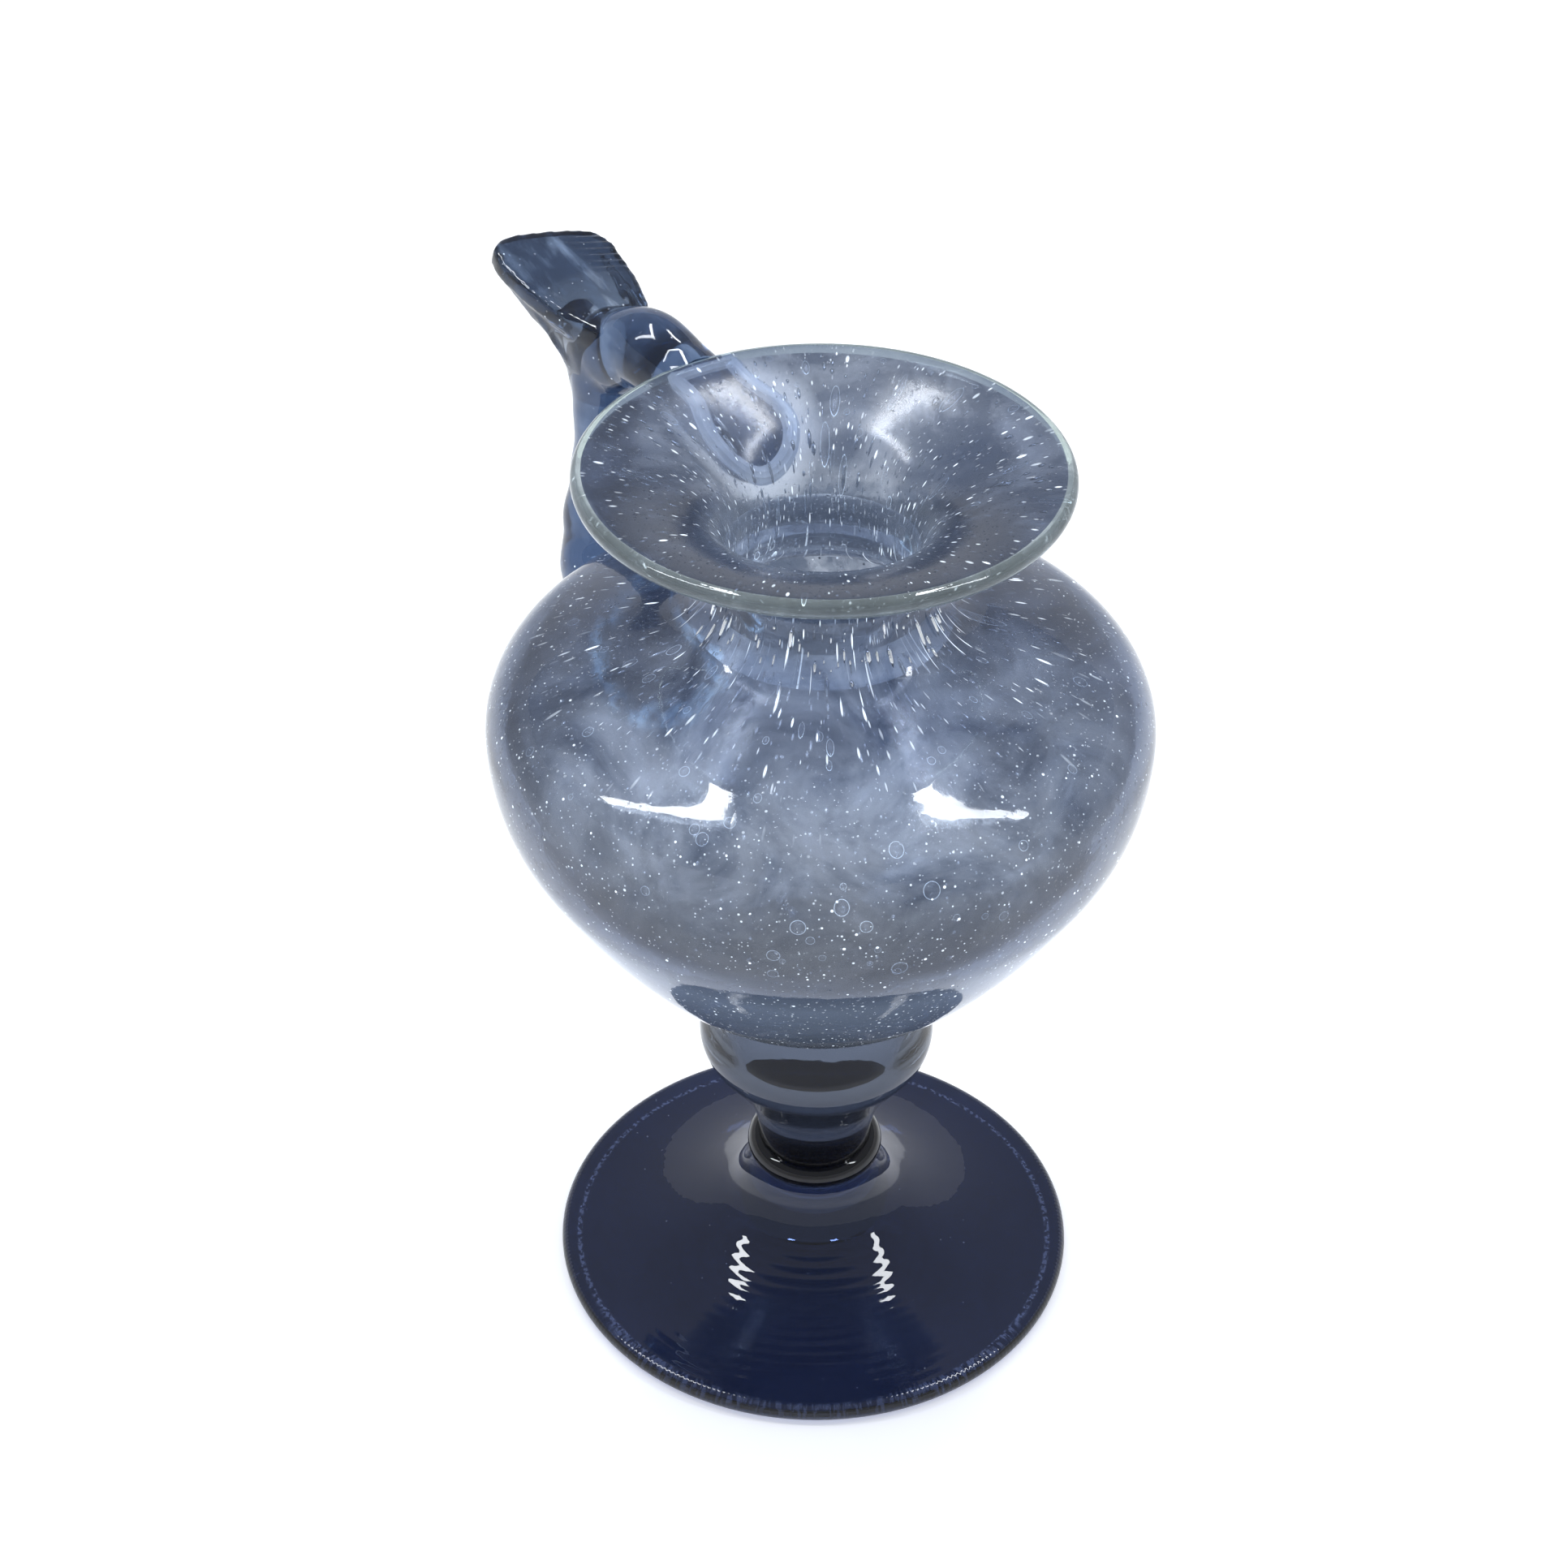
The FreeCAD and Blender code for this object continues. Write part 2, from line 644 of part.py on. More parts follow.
def draw_rest(outline):
    """The plan of the thumb rest: x runs out from its datum, y across."""
    half = named("rest_width") * 0.5
    neck = half * rest_neck_share
    end_half = half * rest_end_share
    root = -named("rest_root")
    length = named("rest_length")
    side = length * (1.0 - rest_corner_share)
    skew = length * (1.0 - rest_skew_share)
    corners = [
        (root, -neck),
        (side, -half),
        (length, -end_half * (1.0 - rest_corner_share)),
        (skew, end_half * rest_right_share * (1.0 - rest_corner_share)),
        (side * (1.0 - rest_skew_share), half * rest_right_share),
        (root, neck * rest_right_share),
    ]
    edges = []
    for here, there in zip(corners, corners[1:] + corners[:1]):
        edge = outline.line((here[0].value, here[1].value), (there[0].value, there[1].value))
        outline.fix(edge, 1, *here)
        edges.append(edge)
    outline.close(edges)


draw_rest(rest_outline)
rest_outline.sketch.AttachmentOffset = Placement(
    Vector(-rest_reach.value, 0, rest_height.value),
    Rotation(Vector(0, 1, 0), 180.0 + named("rest_tilt").value),
)
rest_outline.sketch.setExpression("AttachmentOffset.Base.x", (-rest_reach).text)
rest_outline.sketch.setExpression("AttachmentOffset.Base.z", rest_height.text)
rest_outline.sketch.setExpression("AttachmentOffset.Rotation.Angle", "180 + sizes.rest_tilt")
pressed = rest_gather.newObject("PartDesign::Pad", "rest_pressed")
pressed.Profile = rest_outline.sketch
pressed.Midplane = True
pressed.setExpression("Length", "sizes.rest_thickness")
doc.recompute()


def edge_names(shape, wanted):
    return ["Edge%d" % number for number, edge in enumerate(shape.Edges, start=1) if wanted(edge)]


def rounded(body, name, base, wanted, size):
    """The edges of a feature that are wanted, rounded to a size."""
    doc.recompute()
    fillet = body.newObject("PartDesign::Fillet", name)
    fillet.Base = (base, edge_names(base.Shape, wanted))
    fillet.Radius = size.value
    fillet.setExpression("Radius", size.text)
    return fillet


def is_corner(edge):
    """A corner edge of the pressed plate: as long as the plate is thick."""
    return abs(edge.Length - named("rest_thickness").value) < edge_slack


def is_rim(edge):
    """An edge round the upper or the lower face."""
    return not is_corner(edge)


edge_slack = 1e-6
corners = rounded(rest_gather, "rest_corners", pressed, is_corner, named("rest_corner_radius"))
rims = rounded(rest_gather, "rest_rims", corners, is_rim, named("rest_thickness") * rest_edge_share)
thumb_rest = cut_away("thumb_rest", rest_gather, handle_gather)

NODES = {
    "foot": foot,
    "collar": collar,
    "stem_knop": stem_knop,
    "reservoir": reservoir,
    "handle": handle,
    "thumb_rest": thumb_rest,
}
for name, node in NODES.items():
    node.Label = name
doc.recompute()

for item in doc.Objects:
    if "Invalid" in item.State or "Error" in item.State:
        raise RuntimeError("%s failed: %s" % (item.Name, item.State))

os.makedirs("parts", exist_ok=True)
for name, node in NODES.items():
    shape = node.Shape
    if shape.isNull() or not shape.isValid():
        raise RuntimeError("%s has no sound shape" % name)
    shape.exportStep("parts/%s.step" % name)
    print("%-12s %9.1f mm3, %d solid" % (name, shape.Volume, len(shape.Solids)))
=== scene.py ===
import math

import bmesh
import bpy
from bpy.props import FloatProperty, FloatVectorProperty, IntProperty, PointerProperty
from bpy.types import Operator, Panel, PropertyGroup
from mathutils import Matrix, Vector
from mathutils.noise import noise


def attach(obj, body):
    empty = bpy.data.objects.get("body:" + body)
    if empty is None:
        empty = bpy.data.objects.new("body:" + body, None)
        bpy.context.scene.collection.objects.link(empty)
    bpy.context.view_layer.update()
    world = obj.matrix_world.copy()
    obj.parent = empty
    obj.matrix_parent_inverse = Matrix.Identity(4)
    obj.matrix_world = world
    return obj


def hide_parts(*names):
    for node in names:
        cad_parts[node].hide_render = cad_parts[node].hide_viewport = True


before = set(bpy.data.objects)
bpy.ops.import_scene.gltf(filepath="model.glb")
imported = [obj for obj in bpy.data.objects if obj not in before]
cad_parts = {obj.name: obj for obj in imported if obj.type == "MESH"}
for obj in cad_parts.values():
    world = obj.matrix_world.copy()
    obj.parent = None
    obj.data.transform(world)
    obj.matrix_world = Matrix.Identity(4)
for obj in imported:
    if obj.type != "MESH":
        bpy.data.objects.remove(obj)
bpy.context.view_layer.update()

# A hand-blown glass oil lamp, full of seed bubbles. Lengths are in metres, Z is up,
# the origin is the middle of the ring that the lamp stands on, the handle is along -X.

bl_info = {
    "name": "Glass oil lamp",
    "version": (1, 0, 0),
    "blender": (4, 5, 0),
    "location": "3D View > Sidebar > Oil Lamp",
    "description": "Builds a hand-blown glass oil lamp piece by piece",
    "category": "Add Mesh",
}

MM = 0.001
UP = math.pi / 2.0
JOIN = 0.05 * MM


# Settings


class LampShape(PropertyGroup):
    """Sizes of the glass."""

    segments: IntProperty(
        name="Segments", description="Steps round each turned piece", default=112, min=24, max=256
    )
    bowl_wall: FloatProperty(
        name="Bowl wall", description="Thickness of the reservoir's wall",
        default=3.0 * MM, min=1.0 * MM, max=5.0 * MM, unit="LENGTH",
    )
    cup_wall: FloatProperty(
        name="Cup wall", description="Thickness of the cup's wall",
        default=2.6 * MM, min=1.0 * MM, max=4.0 * MM, unit="LENGTH",
    )
    waviness: FloatProperty(
        name="Waviness", description="How far the blown walls leave a true turned shape",
        default=0.16 * MM, min=0.0, max=0.5 * MM, unit="LENGTH",
    )
    ripple_height: FloatProperty(
        name="Ripple height", description="Height of the tool ripples on the foot",
        default=0.02 * MM, min=0.0, max=0.3 * MM, unit="LENGTH",
    )
    ripple_pitch: FloatProperty(
        name="Ripple pitch", description="Distance between the tool ripples",
        default=1.7 * MM, min=0.5 * MM, max=6.0 * MM, unit="LENGTH",
    )
    seam_radius: FloatProperty(
        name="Seam radius", description="Half thickness of the bright seams round the handle's ends",
        default=0.8 * MM, min=0.1 * MM, max=1.5 * MM, unit="LENGTH",
    )
    crimp_depth: FloatProperty(
        name="Crimp depth", description="Depth of the tool marks on the thumb rest",
        default=0.22 * MM, min=0.0, max=1.0 * MM, unit="LENGTH",
    )


class LampBubbles(PropertyGroup):
    """The bubbles in the reservoir's wall."""

    crowd: FloatProperty(
        name="Crowd", description="Seed bubbles per square centimetre of wall", default=21.5, min=0.0, max=40.0
    )
    smallest: FloatProperty(
        name="Smallest", description="Radius of the smallest seed bubbles",
        default=0.10 * MM, min=0.02 * MM, max=0.3 * MM, unit="LENGTH",
    )
    largest: FloatProperty(
        name="Largest", description="Radius of the largest seed bubbles",
        default=0.40 * MM, min=0.05 * MM, max=1.0 * MM, unit="LENGTH",
    )
    round_crowd: FloatProperty(
        name="Round crowd", description="Larger round bubbles per square centimetre of wall",
        default=0.55, min=0.0, max=3.0,
    )
    seed: IntProperty(name="Seed", description="Number that fixes where the bubbles lie", default=11, min=0)


class LampColours(PropertyGroup):
    """Tints of the glass."""

    clear_tint: FloatVectorProperty(
        name="Clear glass", description="Tint of the foot and the stem",
        subtype="COLOR", size=3, min=0.0, max=1.0, default=(0.018, 0.028, 0.068),
    )
    bubble_tint: FloatVectorProperty(
        name="Bubble glass", description="Tint of the reservoir",
        subtype="COLOR", size=3, min=0.0, max=1.0, default=(0.038, 0.050, 0.078),
    )
    blue_tint: FloatVectorProperty(
        name="Blue glass", description="Tint of the handle and the thumb rest",
        subtype="COLOR", size=3, min=0.0, max=1.0, default=(0.055, 0.095, 0.190),
    )
    # The lip's tint is green-grey like thick glass, and paler than that as painted light.
    lip_tint: FloatVectorProperty(
        name="Lip", description="Tint of the thick glass at the lip",
        subtype="COLOR", size=3, min=0.0, max=1.0, default=(0.500, 0.580, 0.560),
    )


# Outlines: points with the heading of the outline there, in the plane of radius and height


def arc(start, end, heading, step=1.1 * MM):
    """Points of the arc that leaves start along the heading and arrives at end."""
    chord = math.atan2(end[1] - start[1], end[0] - start[0])
    turn = math.remainder(chord - heading, math.tau)
    radius = math.dist(start, end) / (2.0 * math.sin(abs(turn)))
    side = math.copysign(1.0, turn)
    centre = (start[0] - side * radius * math.sin(heading), start[1] + side * radius * math.cos(heading))
    count = max(4, math.ceil(radius * abs(2.0 * turn) / step))
    first = math.atan2(start[1] - centre[1], start[0] - centre[0])
    points = []
    for number in range(count + 1):
        swept = 2.0 * turn * number / count
        angle = first + swept
        points.append((
            centre[0] + radius * math.cos(angle), centre[1] + radius * math.sin(angle), heading + swept
        ))
    return points


def chain(start, heading, ends, step=1.1 * MM):
    """Tangent arcs from start through the ends, one after the other."""
    points = [(start[0], start[1], heading)]
    for end in ends:
        points += arc(points[-1][:2], end, points[-1][2], step)[1:]
    return points


def beside(points, distance):
    """The outline moved to the left of its heading."""
    return [
        (r - distance * math.sin(heading), z + distance * math.cos(heading), heading)
        for r, z, heading in points
    ]


def backwards(points):
    return [(r, z, heading + math.pi) for r, z, heading in reversed(points)]


def scaled(*pairs):
    return [(a * MM, b * MM) for a, b in pairs]


FLANK, UNDER, SHOULDER, SLOPE_END = scaled((42.8, 86.0), (29.0, 66.0), (40.2, 112.0), (23.2, 118.0))
BELLY, THROAT, WAIST = scaled((46.8, 101.5), (12.8, 127.84), (15.4, 127.84))
CUP_MIDDLE, LIP, BORE_FOOT = scaled((18.8, 138.2), (32.1, 142.8), (12.8, 121.34))
BOTTOM_RADIUS, BOTTOM_CENTRE = 38.0 * MM, 90.55 * MM


def bowl_outside():
    """The reservoir's outside from the axis at the bottom to the neck's waist."""
    lower = chain(BELLY, -UP, [FLANK, UNDER])
    lower += arc(lower[-1][:2], (0.0, BOTTOM_CENTRE - BOTTOM_RADIUS), lower[-1][2])[1:]
    upper = chain(BELLY, UP, [SHOULDER, SLOPE_END, WAIST])
    return backwards(lower), upper


def reservoir_outline(shape):
    """Round the reservoir's wall: up the outside, over the lip, down the inside, with a wave share."""
    lower, upper = bowl_outside()
    cup = chain(THROAT, UP, [CUP_MIDDLE, LIP], 0.8 * MM)
    cup_outside = beside(cup, -shape.cup_wall)
    tip = Vector(cup[-1][:2]).lerp(Vector(cup_outside[-1][:2]), 0.5)
    lip = []
    for number in range(1, 10):
        angle = cup[-1][2] - UP + math.pi * number / 10.0
        lip.append((tip.x + 0.5 * shape.cup_wall * math.cos(angle), tip.y + 0.5 * shape.cup_wall * math.sin(angle), 0.0))
    slope_end = min(range(len(upper)), key=lambda n: math.dist(upper[n][:2], SLOPE_END))
    inside = beside(upper[: slope_end + 1], shape.bowl_wall)
    throat = arc(inside[-1][:2], BORE_FOOT, inside[-1][2])
    bore = [(BORE_FOOT[0], BORE_FOOT[1] + (THROAT[1] - BORE_FOOT[1]) * n / 5.0, UP) for n in range(1, 5)]
    inner = beside(lower, shape.bowl_wall)[:-1] + inside + throat[1:] + bore + cup
    outer = lower + upper[1:] + cup_outside[1:] + lip
    points = [(r, z, 0.3 * between(z, 60.0 * MM, 72.0 * MM), float(z > 129.0 * MM)) for r, z, _ in outer]
    points += [(r, z, -1.0, float(z < 118.0 * MM)) for r, z, _ in reversed(inner)]
    points[0] = (0.0, *points[0][1:])
    points[-1] = (0.0, *points[-1][1:])
    return points


def between(value, low, high):
    """0 below low, 1 above high and even between them."""
    return min(1.0, max(0.0, (value - low) / (high - low)))


def middle_outline(shape):
    """The middle of the wall from the bottom to near the lip, for the bubbles."""
    lower, upper = bowl_outside()
    cup = chain(THROAT, UP, [CUP_MIDDLE, LIP], 0.8 * MM)
    middle = beside(lower, 0.5 * shape.bowl_wall)[:-1]
    middle += beside(upper, 0.5 * shape.bowl_wall)[: -len(upper) // 5]
    middle += beside(cup, -0.5 * shape.cup_wall)[1:-2]
    return middle


def foot_outline():
    edge = 38.4 * MM
    top = chain((edge, 3.2 * MM), math.pi, scaled((26.0, 5.0), (14.5, 10.5), (9.6, 19.6)), 0.4 * MM)
    rim = [
        (edge + 1.6 * MM * math.sin(a), 1.6 * MM - 1.6 * MM * math.cos(a), 0.0)
        for a in [math.pi * n / 10.0 for n in range(1, 10)]
    ]
    hollow = arc((0.0, 1.6 * MM), (37.0 * MM, 0.0), 0.0, 1.6 * MM)
    points = [(r, z, 0.0) for r, z, _ in hollow]
    points += [(37.7 * MM, 0.0, 0.0), (edge, 0.0, 0.0)]
    points += rim
    for r, z, _ in top:
        points.append((r, z, between(r, 10.5 * MM, 13.5 * MM)))
    points.append((0.0, top[-1][1], 0.0))
    return points


def collar_outline():
    widest = (10.4 * MM, 20.9 * MM)
    lower = chain(widest, -UP, scaled((9.6, 19.6)), 0.3 * MM)
    upper = chain(widest, UP, scaled((8.7, 23.0)), 0.3 * MM)
    points = [(0.0, 19.6 * MM - JOIN, 0.0), (9.6 * MM, 19.6 * MM - JOIN, 0.0)]
    points += [(r, z, 0.0) for r, z, _ in reversed(lower)]
    points += [(r, z, 0.0) for r, z, _ in upper[1:]]
    points.append((0.0, 23.0 * MM, 0.0))
    return points


def knop_outline():
    side = chain(
        (8.7 * MM, 23.0 * MM), UP, scaled((11.8, 34.0), (16.2, 40.5), (17.1, 47.5), (13.0, 55.2)), 0.6 * MM
    )
    reach = BOTTOM_RADIUS - JOIN
    side = [p for p in side if math.hypot(p[0], BOTTOM_CENTRE - p[1]) > reach]
    angle = math.asin(side[-1][0] / reach)
    points = [(0.0, 23.0 * MM - JOIN, 0.0), (8.7 * MM, 23.0 * MM - JOIN, 0.0)]
    points += [(r, z, 0.0) for r, z, _ in side]
    for number in range(1, 13):
        here = angle * (12 - number) / 12.0
        points.append((reach * math.sin(here), BOTTOM_CENTRE - reach * math.cos(here), 0.0))
    points[-1] = (0.0, points[-1][1], 0.0)
    return points


# Geometry Nodes


def new_tree(name, inputs):
    """An empty modifier tree with one geometry in and out and the named inputs."""
    tree = bpy.data.node_groups.new(name, "GeometryNodeTree")
    tree.interface.new_socket("Geometry", in_out="INPUT", socket_type="NodeSocketGeometry")
    for label, kind, value in inputs:
        socket = tree.interface.new_socket(label, in_out="INPUT", socket_type=kind)
        if value is not None:
            socket.default_value = value
    tree.interface.new_socket("Geometry", in_out="OUTPUT", socket_type="NodeSocketGeometry")
    return tree, tree.nodes.new("NodeGroupInput"), tree.nodes.new("NodeGroupOutput")


def add_node(tree, kind, links=(), **settings):
    """A node with its settings and with values or sockets put on its inputs."""
    node = tree.nodes.new(kind)
    for key, value in settings.items():
        setattr(node, key, value)
    for slot, value in dict(links).items():
        socket = node.inputs[slot]
        if isinstance(value, bpy.types.NodeSocket):
            tree.links.new(value, socket)
        else:
            socket.default_value = value
    return node


def maths(tree, operation, *values):
    return add_node(tree, "ShaderNodeMath", dict(enumerate(values)), operation=operation).outputs[0]


def named_number(tree, name, kind="FLOAT"):
    return add_node(tree, "GeometryNodeInputNamedAttribute", {"Name": name}, data_type=kind).outputs["Attribute"]


FRONT = (0.79, -0.61, 0.0)


def turned_tree():
    """Turns an outline of points about Z, with ripples and hand-made waves on it."""
    tree, source, result = new_tree("turned_glass", [
        ("Segments", "NodeSocketInt", 160),
        ("Waviness", "NodeSocketFloat", 0.0),
        ("Ripple height", "NodeSocketFloat", 0.0),
        ("Ripple pitch", "NodeSocketFloat", 0.002),
        ("Seed", "NodeSocketFloat", 0.0),
        ("Material", "NodeSocketMaterial", None),
    ])
    given = source.outputs
    count = add_node(tree, "GeometryNodeAttributeDomainSize", {"Geometry": given["Geometry"]}).outputs["Point Count"]
    columns = maths(tree, "ADD", given["Segments"], 1.0)
    grid = add_node(tree, "GeometryNodeMeshGrid", {"Vertices X": columns, "Vertices Y": count})
    index = add_node(tree, "GeometryNodeInputIndex").outputs[0]
    column = maths(tree, "FLOOR", maths(tree, "DIVIDE", maths(tree, "ADD", index, 0.5), count))
    row = maths(tree, "SUBTRACT", index, maths(tree, "MULTIPLY", column, count))
    place = add_node(tree, "GeometryNodeInputPosition").outputs[0]
    outline = add_node(
        tree, "GeometryNodeSampleIndex", {"Geometry": given["Geometry"], "Value": place, "Index": row},
        data_type="FLOAT_VECTOR",
    ).outputs["Value"]

    def carried(name):
        return add_node(
            tree, "GeometryNodeSampleIndex",
            {"Geometry": given["Geometry"], "Value": named_number(tree, name), "Index": row}, data_type="FLOAT",
        ).outputs["Value"]

    angle = maths(tree, "DIVIDE", maths(tree, "MULTIPLY", column, math.tau), given["Segments"])
    turned = add_node(
        tree, "ShaderNodeVectorRotate", {"Vector": outline, "Axis": (0.0, 0.0, 1.0), "Angle": angle},
        rotation_type="AXIS_ANGLE",
    ).outputs[0]
    marked = grid.outputs["Mesh"]
    for name in ("wave", "tint"):
        marked = add_node(
            tree, "GeometryNodeStoreNamedAttribute", {"Geometry": marked, "Name": name, "Value": carried(name)},
            data_type="FLOAT", domain="POINT",
        ).outputs[0]
    placed = add_node(tree, "GeometryNodeSetPosition", {"Geometry": marked, "Position": turned})
    closed = add_node(tree, "GeometryNodeMergeByDistance", {"Geometry": placed.outputs[0], "Distance": 1e-7})
    here = add_node(tree, "GeometryNodeInputPosition").outputs[0]
    split = add_node(tree, "ShaderNodeSeparateXYZ", {0: here}).outputs
    radius = maths(tree, "SQRT", maths(tree, "ADD", maths(tree, "POWER", split[0], 2.0), maths(tree, "POWER", split[1], 2.0)))
    hand = add_node(tree, "ShaderNodeTexNoise", {"Vector": here, "Scale": 55.0, "Detail": 1.0}).outputs["Fac"]
    turns = maths(tree, "DIVIDE", maths(tree, "MULTIPLY", radius, math.tau), given["Ripple pitch"])
    ripple = maths(tree, "SINE", maths(tree, "ADD", turns, maths(tree, "MULTIPLY", hand, 9.0)))
    front = add_node(tree, "ShaderNodeVectorMath", {0: here, 1: FRONT}, operation="DOT_PRODUCT").outputs["Value"]
    front = maths(tree, "DIVIDE", front, maths(tree, "ADD", radius, 1e-6))
    kept = named_number(tree, "wave")
    strong = maths(tree, "ADD", 0.03, maths(tree, "MULTIPLY", maths(tree, "POWER", maths(tree, "MAXIMUM", front, 0.0), 3.0), 1.4))
    ripple = maths(tree, "MULTIPLY", maths(tree, "MULTIPLY", ripple, strong), given["Ripple height"])
    ripple = maths(tree, "MULTIPLY", ripple, kept)
    swell = add_node(
        tree, "ShaderNodeTexNoise", {"Vector": here, "W": given["Seed"], "Scale": 42.0, "Detail": 1.5},
        noise_dimensions="4D",
    ).outputs["Fac"]
    swell = maths(tree, "MULTIPLY", maths(tree, "SUBTRACT", swell, 0.5), 2.0)
    swell = maths(tree, "MULTIPLY", maths(tree, "MULTIPLY", swell, given["Waviness"]), kept)
    out = add_node(tree, "GeometryNodeInputNormal").outputs[0]
    offset = add_node(
        tree, "ShaderNodeVectorMath", {0: out, "Scale": maths(tree, "ADD", ripple, swell)}, operation="SCALE"
    ).outputs[0]
    waved = add_node(tree, "GeometryNodeSetPosition", {"Geometry": closed.outputs[0], "Offset": offset})
    smooth = add_node(tree, "GeometryNodeSetShadeSmooth", {"Geometry": waved.outputs[0]})
    real = add_node(tree, "GeometryNodeRealizeInstances", {"Geometry": smooth.outputs[0]})
    finish = add_node(tree, "GeometryNodeSetMaterial", {"Geometry": real.outputs[0], "Material": given["Material"]})
    tree.links.new(finish.outputs[0], result.inputs[0])
    return tree


def bubble_tree():
    """Hollow bubbles in a wall: seeds scattered over its faces and larger ones on loose points."""
    tree, source, result = new_tree("wall_bubbles", [
        ("Crowd", "NodeSocketFloat", 40000.0),
        ("Smallest", "NodeSocketFloat", 0.0001),
        ("Largest", "NodeSocketFloat", 0.0006),
        ("Wall", "NodeSocketFloat", 0.0026),
        ("Loose", "NodeSocketFloat", 0.0),
        ("Detail", "NodeSocketInt", 1),
        ("Seed", "NodeSocketInt", 11),
        ("Material", "NodeSocketMaterial", None),
    ])
    given = source.outputs
    density = maths(tree, "MULTIPLY", given["Crowd"], named_number(tree, "crowd"))
    seeds = add_node(
        tree, "GeometryNodeDistributePointsOnFaces",
        {"Mesh": given["Geometry"], "Density": density, "Seed": given["Seed"]}, distribute_method="RANDOM",
    ).outputs["Points"]

    def chance(low, high, step):
        number = maths(tree, "ADD", given["Seed"], float(step))
        return add_node(
            tree, "FunctionNodeRandomValue", {2: low, 3: high, "Seed": number}, data_type="FLOAT"
        ).outputs[1]

    span = maths(tree, "DIVIDE", given["Largest"], given["Smallest"])
    size = maths(tree, "MULTIPLY", given["Smallest"], maths(tree, "POWER", span, maths(tree, "POWER", chance(0.0, 1.0, 1), 2.4)))
    sized = add_node(
        tree, "GeometryNodeStoreNamedAttribute", {"Geometry": seeds, "Name": "size", "Value": size},
        data_type="FLOAT", domain="POINT",
    ).outputs[0]
    stretched = add_node(
        tree, "GeometryNodeStoreNamedAttribute",
        {"Geometry": sized, "Name": "stretch", "Value": maths(tree, "POWER", named_number(tree, "stretch"), chance(0.3, 1.25, 2))},
        data_type="FLOAT", domain="POINT",
    ).outputs[0]
    room = maths(tree, "SUBTRACT", maths(tree, "MULTIPLY", given["Wall"], 0.5), maths(tree, "MULTIPLY", named_number(tree, "size"), maths(tree, "ADD", 1.1, maths(tree, "MULTIPLY", named_number(tree, "stretch"), 0.13))))
    depth = maths(tree, "MULTIPLY", maths(tree, "MAXIMUM", room, 0.0), chance(-0.85, 0.85, 3))
    inward = named_number(tree, "face", "FLOAT_VECTOR")
    shift = add_node(tree, "ShaderNodeVectorMath", {0: inward, "Scale": depth}, operation="SCALE").outputs[0]
    deep = add_node(tree, "GeometryNodeSetPosition", {"Geometry": stretched, "Offset": shift}).outputs[0]
    chosen = maths(tree, "GREATER_THAN", maths(tree, "MULTIPLY", named_number(tree, "chosen"), given["Loose"]), 0.5)
    large = add_node(tree, "GeometryNodeMeshToPoints", {"Mesh": given["Geometry"], "Selection": chosen}).outputs[0]
    points = add_node(tree, "GeometryNodeJoinGeometry")
    tree.links.new(deep, points.inputs[0])
    tree.links.new(large, points.inputs[0])
    ball = add_node(
        tree, "GeometryNodeMeshIcoSphere", {"Radius": 1.0, "Subdivisions": given["Detail"]}
    ).outputs["Mesh"]
    void = add_node(tree, "GeometryNodeFlipFaces", {"Mesh": ball}).outputs[0]
    turn = add_node(
        tree, "FunctionNodeAxesToRotation",
        {"Primary Axis": named_number(tree, "run", "FLOAT_VECTOR"), "Secondary Axis": inward},
        primary_axis="Z", secondary_axis="X",
    ).outputs[0]
    width = named_number(tree, "size")
    scale = add_node(tree, "ShaderNodeCombineXYZ", {
        "X": maths(tree, "MULTIPLY", width, 0.8),
        "Y": width,
        "Z": maths(tree, "MULTIPLY", width, named_number(tree, "stretch")),
    }).outputs[0]
    spread = add_node(tree, "GeometryNodeInstanceOnPoints", {
        "Points": points.outputs[0], "Instance": void, "Rotation": turn, "Scale": scale,
    })
    real = add_node(tree, "GeometryNodeRealizeInstances", {"Geometry": spread.outputs[0]})
    smooth = add_node(tree, "GeometryNodeSetShadeSmooth", {"Geometry": real.outputs[0]})
    finish = add_node(tree, "GeometryNodeSetMaterial", {"Geometry": smooth.outputs[0], "Material": given["Material"]})
    tree.links.new(finish.outputs[0], result.inputs[0])
    return tree


def path_tree():
    """A round rod of glass drawn along a path, thick and thin by the path's own radius."""
    tree, source, result = new_tree("drawn_glass", [
        ("Sides", "NodeSocketInt", 48),
        ("Material", "NodeSocketMaterial", None),
    ])
    given = source.outputs
    curve = add_node(tree, "GeometryNodeMeshToCurve", {"Mesh": given["Geometry"]}).outputs[0]
    ring = add_node(tree, "GeometryNodeCurvePrimitiveCircle", {"Resolution": given["Sides"], "Radius": 1.0}).outputs[0]
    rod = add_node(tree, "GeometryNodeCurveToMesh", {
        "Curve": curve, "Profile Curve": ring, "Scale": named_number(tree, "thickness"), "Fill Caps": True,
    }).outputs[0]
    smooth = add_node(tree, "GeometryNodeSetShadeSmooth", {"Geometry": rod}).outputs[0]
    real = add_node(tree, "GeometryNodeRealizeInstances", {"Geometry": smooth})
    finish = add_node(tree, "GeometryNodeSetMaterial", {"Geometry": real.outputs[0], "Material": given["Material"]})
    tree.links.new(finish.outputs[0], result.inputs[0])
    return tree


def tree_of(name, build):
    return bpy.data.node_groups.get(name) or build()


def point_mesh(name, points, edges=(), faces=(), **numbers):
    """A mesh of points with named numbers or vectors on them."""
    mesh = bpy.data.meshes.new(name)
    mesh.from_pydata(points, edges, faces)
    for label, values in numbers.items():
        vector = isinstance(values[0], (tuple, Vector))
        layer = mesh.attributes.new(label, "FLOAT_VECTOR" if vector else "FLOAT", "POINT")
        flat = [part for value in values for part in value] if vector else values
        layer.data.foreach_set("vector" if vector else "value", flat)
    return mesh


